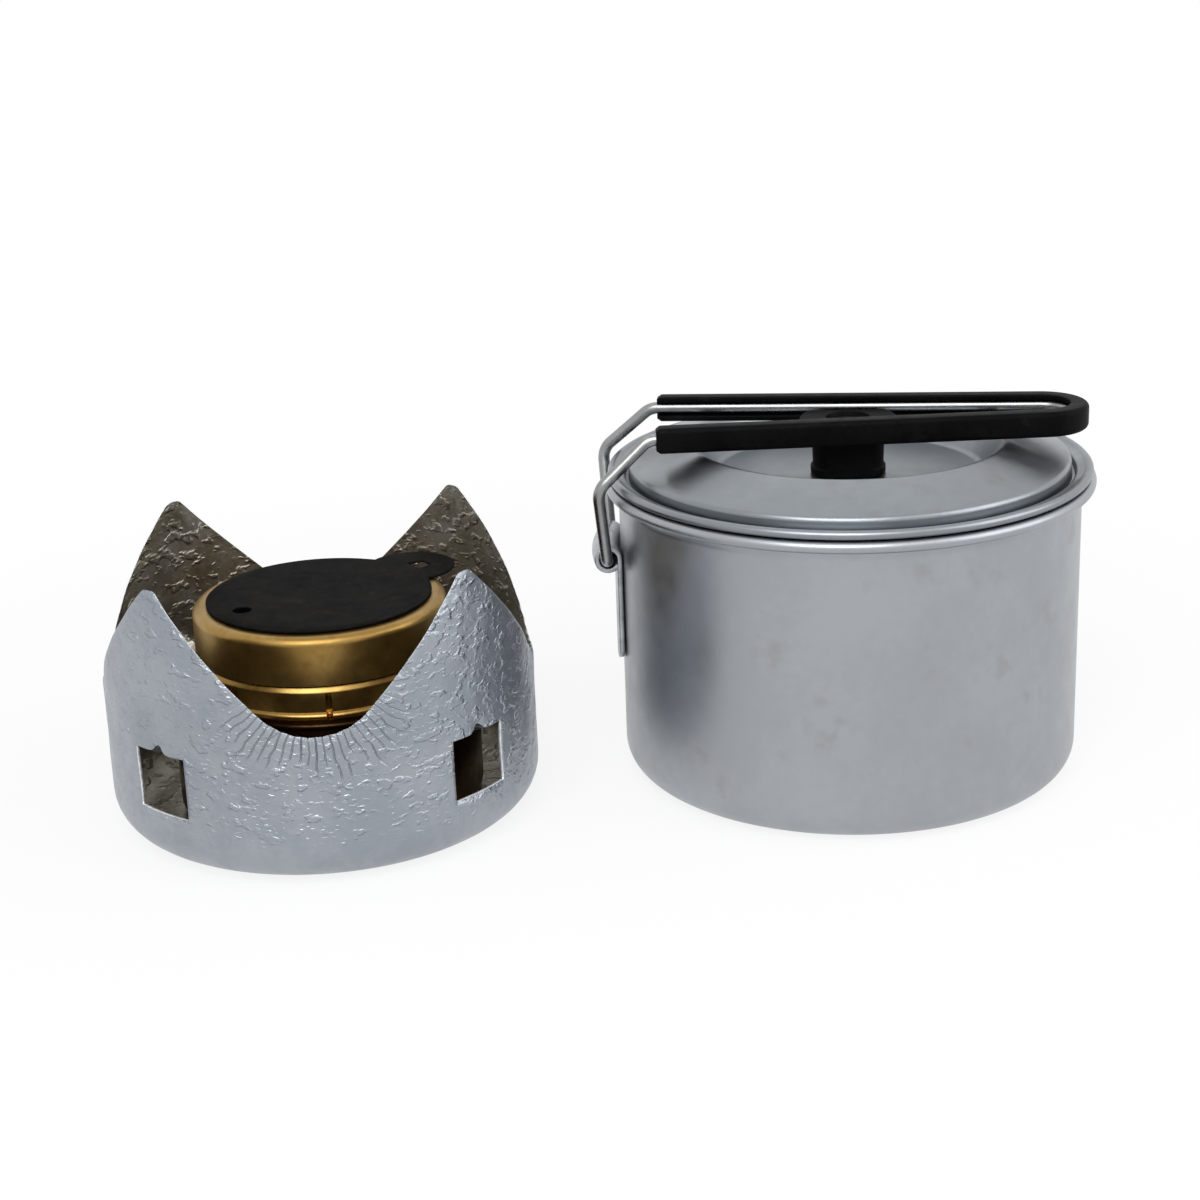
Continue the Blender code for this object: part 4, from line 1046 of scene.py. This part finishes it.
@dataclass
class Pot:
    """Drawn pot with a flared mouth and a rolled rim, and the strap that carries the handle.

    The bead is its radius about the axis, height and own radius, and the strap the reach of its back
    and its thickness. The strap's foot is rounded over a height, narrower there by a share.
    """

    radius: float = 57.9
    sheet: float = 0.8
    corner: float = 7.25
    bead: Triple = (59.90, 75.17, 1.42)
    strap: Pair = (58.2, 1.3)
    strap_foot: float = 30.5
    strap_half: float = 10.8
    strap_round: Pair = (3.2, 0.28)
    curl: float = 3.5
    hinge: float = 57.8
    steps: int = 224

    def body(self) -> None:
        """Turn the pot's wall, foot and rolled rim."""
        reach, level, small = self.bead
        rim = arc((reach, level), small, 176, -128, 22)
        inside = self.radius - self.sheet
        inner = filleted([(0.0, self.sheet, 0.0), (inside, self.sheet, self.corner - self.sheet),
                          (inside, level - 3.0, 3.5), (rim[0, 0] - 0.15, level - 0.7, 0.0)], 10)
        outer = filleted([(*rim[-1], 0.0), (self.radius, level - 3.4, 3.0), (self.radius, 0.0, self.corner),
                          (0.0, 0.0, 0.0)], 12)
        profile = np.vstack([spaced(inner, 6.0), rim, spaced(outer[1:], 5.0)])
        pot = surface("pot_shell", [turned(profile, POT_AXIS, self.steps)], POT_SKIN, crease=50.0)
        place(pot, "pot", "satin_aluminium", "pot_body")

    def bracket(self) -> None:
        """Lay the strap on the wall and roll its upper end into a barrel, then thicken it."""
        back, thick = self.strap
        middle, roll, centre = back + thick / 2, self.curl - thick / 2, back + self.curl
        line = np.vstack([[[middle, self.strap_foot]], arc((centre, self.hinge), roll, 180, -148, 40)])
        line = spaced(line, 1.2)
        share = np.linspace(-1.0, 1.0, 25)
        rounded, narrower = self.strap_round
        foot = np.clip((line[:, 1] - self.strap_foot) / rounded, 0.0, 1.0)
        upright = np.abs(line[:, 0] - middle) < 0.01
        width = np.where(upright, 1.0 - narrower * (1.0 - np.sqrt(1.0 - (1.0 - foot) ** 2)), 1.0)
        swing = math.radians(self.strap_half) * share[None] * width[:, None]
        angle = math.pi + math.radians(HANDLE_TURN) + swing
        grid = polar(POT_AXIS, line[:, 0:1], angle, line[:, 1:2])
        strap = surface("handle_strap", [Patch(grid)], STRAP_SKIN, crease=60.0)
        wall = strap.modifiers.new("sheet", "SOLIDIFY")
        wall.thickness = (thick - 0.04) * MM
        wall.offset = 0.0
        edge = strap.modifiers.new("edges", "BEVEL")
        edge.width = 0.25 * MM
        edge.segments = 2
        edge.limit_method = "ANGLE"
        edge.angle_limit = math.radians(60.0)
        place(strap, "pot", "satin_aluminium", "handle_bracket")
        redress(STRAP_SKIN, "bracket_rivet_near", "bracket_rivet_far")

    def build(self) -> None:
        """Build the pot and its strap."""
        self.body()
        self.bracket()


@dataclass
class Lid:
    """Pressed lid with a sunken middle, its knob, washer and screw.

    Each corner of the sheet's upper face is a radius, a height and the radius of its bend. The knob
    is a disc on a neck that widens to a foot, with a dish in its top and a hole for the screw.
    """

    sheet: float = 0.8
    bead: Triple = (59.4, 77.985, 1.15)
    corners: tuple[Triple, ...] = (
        (2.3, 76.235, 0.0), (34.0, 76.235, 1.9), (38.7, 86.085, 2.4), (55.2, 80.645, 1.4),
        (55.2, 76.39, 0.25), (56.1, 76.39, 0.25), (56.1, 78.235, 1.0), (58.4, 78.335, 0.0))
    knob_low: float = 76.535
    knob_high: float = 90.435
    disc: float = 12.15
    neck: Pair = (9.1, 8.85)
    foot: float = 9.4
    dish: Pair = (5.2, 5.5)
    hole: Pair = (2.3, 7.5)
    flat: float = 6.9

    def under(self) -> list[tuple[float, ...]]:
        """Corners of the sheet's lower face: each upper corner moved along its mitre by the sheet.

        A bend gets wider or tighter by the sheet, after which way it turns.
        """
        flat = [np.array(corner[:2]) for corner in self.corners]
        ways = [(b - a) / np.linalg.norm(b - a) for a, b in zip(flat, flat[1:])]
        right = [np.array((way[1], -way[0])) for way in ways]
        moved = [(*(flat[0] + right[0] * self.sheet), 0.0)]
        for i in range(1, len(flat) - 1):
            mitre = (right[i - 1] + right[i]) / (1.0 + right[i - 1] @ right[i])
            bend = ways[i - 1][0] * ways[i][1] - ways[i - 1][1] * ways[i][0]
            moved.append((*(flat[i] + mitre * self.sheet),
                          max(self.corners[i][2] + math.copysign(self.sheet, bend), 0.1)))
        moved.append((*(flat[-1] + right[-1] * self.sheet), 0.0))
        return moved

    def shell(self) -> None:
        """Turn the lid's sheet and its rolled edge as one closed profile."""
        top = spaced(filleted(list(self.corners), 8), 3.0)
        under = spaced(filleted(self.under(), 6), 3.0)
        rim = arc(self.bead[:2], self.bead[2], 155, -155, 20)
        profile = np.vstack([top[:-1], rim, under[::-1][1:]])
        # The lid takes the pot's aluminium darkened as painted shade.
        lid = surface("lid_shell", [turned(profile, POT_AXIS, 224, closed=True)], LID_SKIN_PAINTED_SHADE, crease=50.0)
        place(lid, "lid", "satin_aluminium", "pot_lid")

    def knob(self) -> None:
        """Turn the knob, then press two sides flat with a soft minimum, and turn it to the handle's line.

        The flats are y = sign(y) * (|y| + f - sqrt((|y| - f)^2 + s^2)) / 2.
        """
        low, high, disc, foot = self.knob_low, self.knob_high, self.disc, self.foot
        (upper, lower), (inner, outer), (hole, depth) = self.neck, self.dish, self.hole
        profile = filleted([(0.0, high - 1.0, 0.0), (inner, high - 1.0, 0.4), (outer, high - 0.02, 0.3),
                            (disc, high - 0.02, 0.7), (disc, high - 2.6, 0.55), (upper, high - 2.75, 0.5),
                            (lower, low + 1.7, 0.6), (foot, low + 1.6, 0.3), (foot, low, 0.2),
                            (hole, low, 0.1), (hole, low + depth, 0.1), (0.0, low + depth, 0.0)], 6)
        patch = turned(spaced(profile, 0.8), (0.0, 0.0, 0.0), 256)
        y = patch.grid[..., 1]
        size = np.abs(y)
        soft = 0.25 * np.clip(size / self.flat, 0.0, 1.0) ** 2
        pressed = 0.5 * (size + self.flat - np.sqrt((size - self.flat) ** 2 + soft ** 2))
        patch.grid[..., 1] = np.sign(y) * np.where(size > 0.5 * self.flat, pressed, size)
        knob = surface("moulded_knob", [about_pot(patch)], GRIP_PLASTIC, crease=50.0, weld=0.01)
        place(knob, "lid", "black_plastic", "lid_knob")

    def build(self) -> None:
        """Build the lid and its knob, and dress what holds it."""
        self.shell()
        self.knob()
        redress(WIRE_STEEL, "knob_washer", "knob_screw")


@dataclass
class Handle:
    """Bent wire, hinged in the strap's barrel, with a moulded grip round its U.

    Its own axes start at the pot's axis, with x towards the grip's end. The stub is where the wire's
    part in the barrel starts and ends along y, and the shoulder is the leg's corner under the grip.
    The grip's open ends start at a share of its size and gain the rest over a length. Its dimple is a
    depth and a radius.
    """

    wire: float = 1.5
    start: float = 47.8
    half: float = 18.5
    end: float = 11.6
    end_centre: float = 48.0
    thick: float = 4.6
    level: float = 89.835
    height: float = 6.4
    inset: float = 2.7
    hinge: Pair = (-60.9, 57.8)
    stub: Pair = (7.3, 13.7)
    stub_round: float = 2.4
    shoulder: Triple = (-62.35, 19.6, 78.3)
    leg_round: float = 5.0
    lead: float = 1.9
    outer_wall: float = 0.9
    edge: float = 1.3
    gap: float = 1.8
    lips: Pair = (0.45, 0.25)
    narrowed: Triple = (0.80, 0.20, 1.3)
    dimple: Pair = (0.5, 1.4)

    def side(self, inset: float, start: float, steps: int = 24) -> np.ndarray:
        """Half of the tapering U, from its open end to the tip: a straight side and the end's circle."""
        half, radius = self.half - inset, self.end - inset
        run = self.start + self.end_centre
        taper = math.acos(radius / math.hypot(run, half)) - math.atan2(run, half)
        first = [[-start, half + (start - self.start) * math.tan(taper)]]
        angle = (math.pi / 2 - taper) * (1.0 - np.arange(steps + 1) / steps)
        bend = np.stack([self.end_centre + radius * np.cos(angle), radius * np.sin(angle)], -1)
        return np.vstack([first, bend])

    def whole(self, half: np.ndarray) -> np.ndarray:
        """Mirror half a line across the handle's middle and join both halves at the tip."""
        mirror = half * np.array([1.0, -1.0, 1.0])
        return np.vstack([half, mirror[-2::-1]])

    def wire_patch(self) -> Patch:
        """A round section carried along stub, leg, lead-in and U."""
        side = self.side(self.inset, self.start)
        slope = (side[1][1] - side[0][1]) / (side[1][0] - side[0][0])
        reach, low = self.hinge
        lead, out = -self.start - self.lead, side[0][1] - slope * self.lead
        bent = filleted([(reach, self.stub[0], low, 0.0), (reach, self.stub[1], low, self.stub_round),
                         (*self.shoulder, self.leg_round), (lead, out, self.level, self.leg_round),
                         (0.0, side[0][1] + slope * self.start, self.level, 0.0)], 10)[:-1]
        rest = np.column_stack([side[1:], np.full(len(side) - 1, self.level)])
        path = spaced(self.whole(np.vstack([bent, rest])), 1.2)
        angle = np.linspace(0.0, 2 * np.pi, 20, endpoint=False)
        section = self.wire * np.stack([np.cos(angle), np.sin(angle)], -1)
        return about_pot(carried(path, section))

    def grip_patch(self) -> Patch:
        """A channelled section carried round the U, narrowed smoothly at both open ends.

        The section is a rounded slab whose inner side is pressed in, up to the outer wall,
        over the height of the wire's channel.
        """
        inset = self.thick / 2
        side = self.side(inset, self.start)
        half = np.column_stack([side, np.full(len(side), self.level)])
        path = spaced(self.whole(half), 1.0)
        width, height, edge, gap = self.thick, self.height, self.edge, self.gap
        outer = np.vstack([arc((width / 2 - edge, -height / 2 + edge), edge, -90, 0, 6),
                           arc((width / 2 - edge, height / 2 - edge), edge, 0, 90, 6)])
        lip, small = self.lips
        channel = width / 2 - self.outer_wall
        inner = np.vstack([arc((-width / 2 + lip, height / 2 - lip), lip, 90, 180, 4),
                           arc((-width / 2 + small, gap + small), small, 180, 270, 3),
                           [[0.0, gap], [channel, gap], [channel, -gap], [0.0, -gap]],
                           arc((-width / 2 + small, -gap - small), small, 90, 180, 3),
                           arc((-width / 2 + lip, -height / 2 + lip), lip, 180, 270, 4)])
        section = np.vstack([outer, inner]) * np.array([-1.0, 1.0])
        length = np.concatenate([[0.0], np.cumsum(np.linalg.norm(np.diff(path, axis=0), axis=1))])
        near = np.minimum(length, length[-1] - length)
        least, rest, over = self.narrowed
        share = least + rest * np.sqrt(np.clip(1.0 - (1.0 - np.clip(near / over, 0, 1)) ** 2, 0, 1))
        return carried(path, section[None] * share[:, None, None], True)

    def build(self) -> None:
        """Build the wire and the grip with its small dimple."""
        wire = surface("bent_wire", [self.wire_patch()], WIRE_STEEL, crease=60.0)
        place(wire, "handle", "bright_steel", "handle_wire")
        patch = self.grip_patch()
        grid = patch.grid
        spot = np.hypot(grid[..., 0] - self.end_centre, grid[..., 2] - self.level)
        outside = grid[..., 1] < -(self.end - 1.2)
        depth, radius = self.dimple
        grid[..., 1] += np.where(outside, np.clip(radius - spot, 0.0, depth), 0.0)
        grip = surface("moulded_grip", [about_pot(patch)], GRIP_PLASTIC, crease=50.0)
        place(grip, "handle", "black_plastic", "handle_grip")


def ray_seen(tree: bpy.types.NodeTree) -> Socket:
    """1 for what the camera, a glossy surface or glass looks at, and 0 for soft light.

    Args:
        tree: The tree to add the nodes to.

    Returns:
        The output that says it.
    """
    path = tree.nodes.new("ShaderNodeLightPath")
    glossy, seen = tree.nodes.new("ShaderNodeMath"), tree.nodes.new("ShaderNodeMath")
    glossy.operation = seen.operation = "MAXIMUM"
    tree.links.new(path.outputs["Is Glossy Ray"], glossy.inputs[0])
    tree.links.new(path.outputs["Is Transmission Ray"], glossy.inputs[1])
    tree.links.new(path.outputs["Is Camera Ray"], seen.inputs[0])
    tree.links.new(glossy.outputs[0], seen.inputs[1])
    return seen.outputs[0]


@dataclass
class Studio:
    """Camera, soft lamps, pale floor and background.

    A lamp is its place, target, size and power. The floor's glow is the least share of white and what
    the distance from the object adds, between the two ends of its fade, in metres.
    """

    eye: Triple = (24.995, -545.32, 236.97)
    yaw: float = 0.0839
    pitch: float = 0.3321
    roll: float = -0.0369
    lens: float = 69.14
    sensor: float = 36.0
    middle: Triple = (70.0, 0.0, 0.0)
    world: float = 0.55
    floor_size: float = 6000.0
    floor_level: float = -0.4
    floor_colour: Triple = (0.86, 0.86, 0.86)
    floor_glow: Pair = (0.84, 0.16)
    floor_fade: Pair = (0.13, 0.34)
    lamps: tuple[tuple[Triple, Triple, float, float], ...] = field(
        default_factory=lambda: (((-120.0, -700.0, 760.0), (60.0, 0.0, 40.0), 700.0, 6.5),
                                 ((820.0, -300.0, 520.0), (100.0, 0.0, 40.0), 700.0, 3.0),
                                 ((60.0, 620.0, 900.0), (60.0, 0.0, 40.0), 900.0, 0.5)))

    def camera(self) -> None:
        """Stand the camera where the photograph was taken, looking along its own heading."""
        way = Vector((math.sin(self.yaw) * math.cos(self.pitch), math.cos(self.yaw) * math.cos(self.pitch),
                      -math.sin(self.pitch)))
        right = Vector((math.cos(self.yaw), -math.sin(self.yaw), 0.0))
        up = right.cross(way)
        x = right * math.cos(self.roll) + up * math.sin(self.roll)
        y = -right * math.sin(self.roll) + up * math.cos(self.roll)
        data = bpy.data.cameras.new("camera")
        data.lens = self.lens
        data.sensor_width = self.sensor
        data.clip_start = 0.01
        camera = add_object("camera", data)
        turn = Matrix((x, y, -way)).transposed().to_4x4()
        camera.matrix_world = Matrix.Translation(Vector(self.eye) * MM) @ turn
        bpy.context.scene.camera = camera

    def lights(self) -> None:
        """Hang square soft lamps, each facing its target."""
        for number, (spot, target, size, power) in enumerate(self.lamps):
            data = bpy.data.lights.new(f"softbox_{number}", "AREA")
            data.size = size * MM
            data.energy = power
            lamp = add_object(f"softbox_{number}", data)
            facing = (Vector(target) - Vector(spot)).normalized().to_track_quat("-Z", "Y")
            lamp.matrix_world = Matrix.Translation(Vector(spot) * MM) @ facing.to_matrix().to_4x4()

    def background(self) -> None:
        """White where the camera or a mirror-like surface looks past the object, softer as a lamp."""
        world = bpy.data.worlds.new("studio")
        bpy.context.scene.world = world
        world.use_nodes = True
        tree = world.node_tree
        shine = tree.nodes["Background"]
        level = tree.nodes.new("ShaderNodeMapRange")
        tree.links.new(ray_seen(tree), level.inputs["Value"])
        level.inputs["To Min"].default_value = self.world
        level.inputs["To Max"].default_value = 1.0
        shine.inputs["Color"].default_value = (1.0, 1.0, 1.0, 1.0)
        tree.links.new(level.outputs["Result"], shine.inputs["Strength"])

    def floor(self) -> None:
        """A wide pale floor that keeps a soft shadow and otherwise looks white."""
        mesh = bpy.data.meshes.new("floor")
        size, level = self.floor_size * MM, self.floor_level * MM
        corners = [(-size, -size, level), (size, -size, level), (size, size, level), (-size, size, level)]
        mesh.from_pydata(corners, [], [(0, 1, 2, 3)])
        floor = add_object("floor", mesh)
        material = bpy.data.materials.new("pale_floor")
        material.use_nodes = True
        bench = Bench(material)
        bench.link(self.floor_colour, "Base Color")
        bench.set("Roughness", 0.9)
        bench.set("Specular IOR Level", 0.0)
        glow = bench.node("ShaderNodeEmission")
        glow.inputs["Strength"].default_value = 1.0
        reach = bench.node("ShaderNodeVectorMath", operation="LENGTH")
        bench.join(bench.place(self.middle), reach.inputs[0])
        far = bench.between(reach.outputs["Value"], *self.floor_fade)
        least, added = self.floor_glow
        bright = bench.math("ADD", bench.math("MULTIPLY", far, added), least)
        mix = bench.node("ShaderNodeMixShader")
        bench.join(bench.math("MULTIPLY", ray_seen(bench.tree), bright), mix.inputs[0])
        bench.join(bench.shader.outputs[0], mix.inputs[1])
        bench.join(glow.outputs[0], mix.inputs[2])
        bench.join(mix.outputs[0], bench.tree.nodes["Material Output"].inputs["Surface"])
        mesh.materials.append(material)

    def build(self) -> None:
        """Set up camera, lamps, background and floor."""
        self.camera()
        self.lights()
        self.background()
        self.floor()
        bpy.context.scene.view_settings.view_transform = "Standard"


def main() -> None:
    """Build the studio and every sub-assembly in order."""
    logging.basicConfig(level=logging.INFO, format="%(name)s: %(message)s")
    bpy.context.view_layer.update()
    Studio().build()
    Windshield().build()
    Burner().build()
    ScrewCap().build()
    SimmerRing().build()
    Pot().build()
    Lid().build()
    Handle().build()


if __name__ == "__main__":
    main()
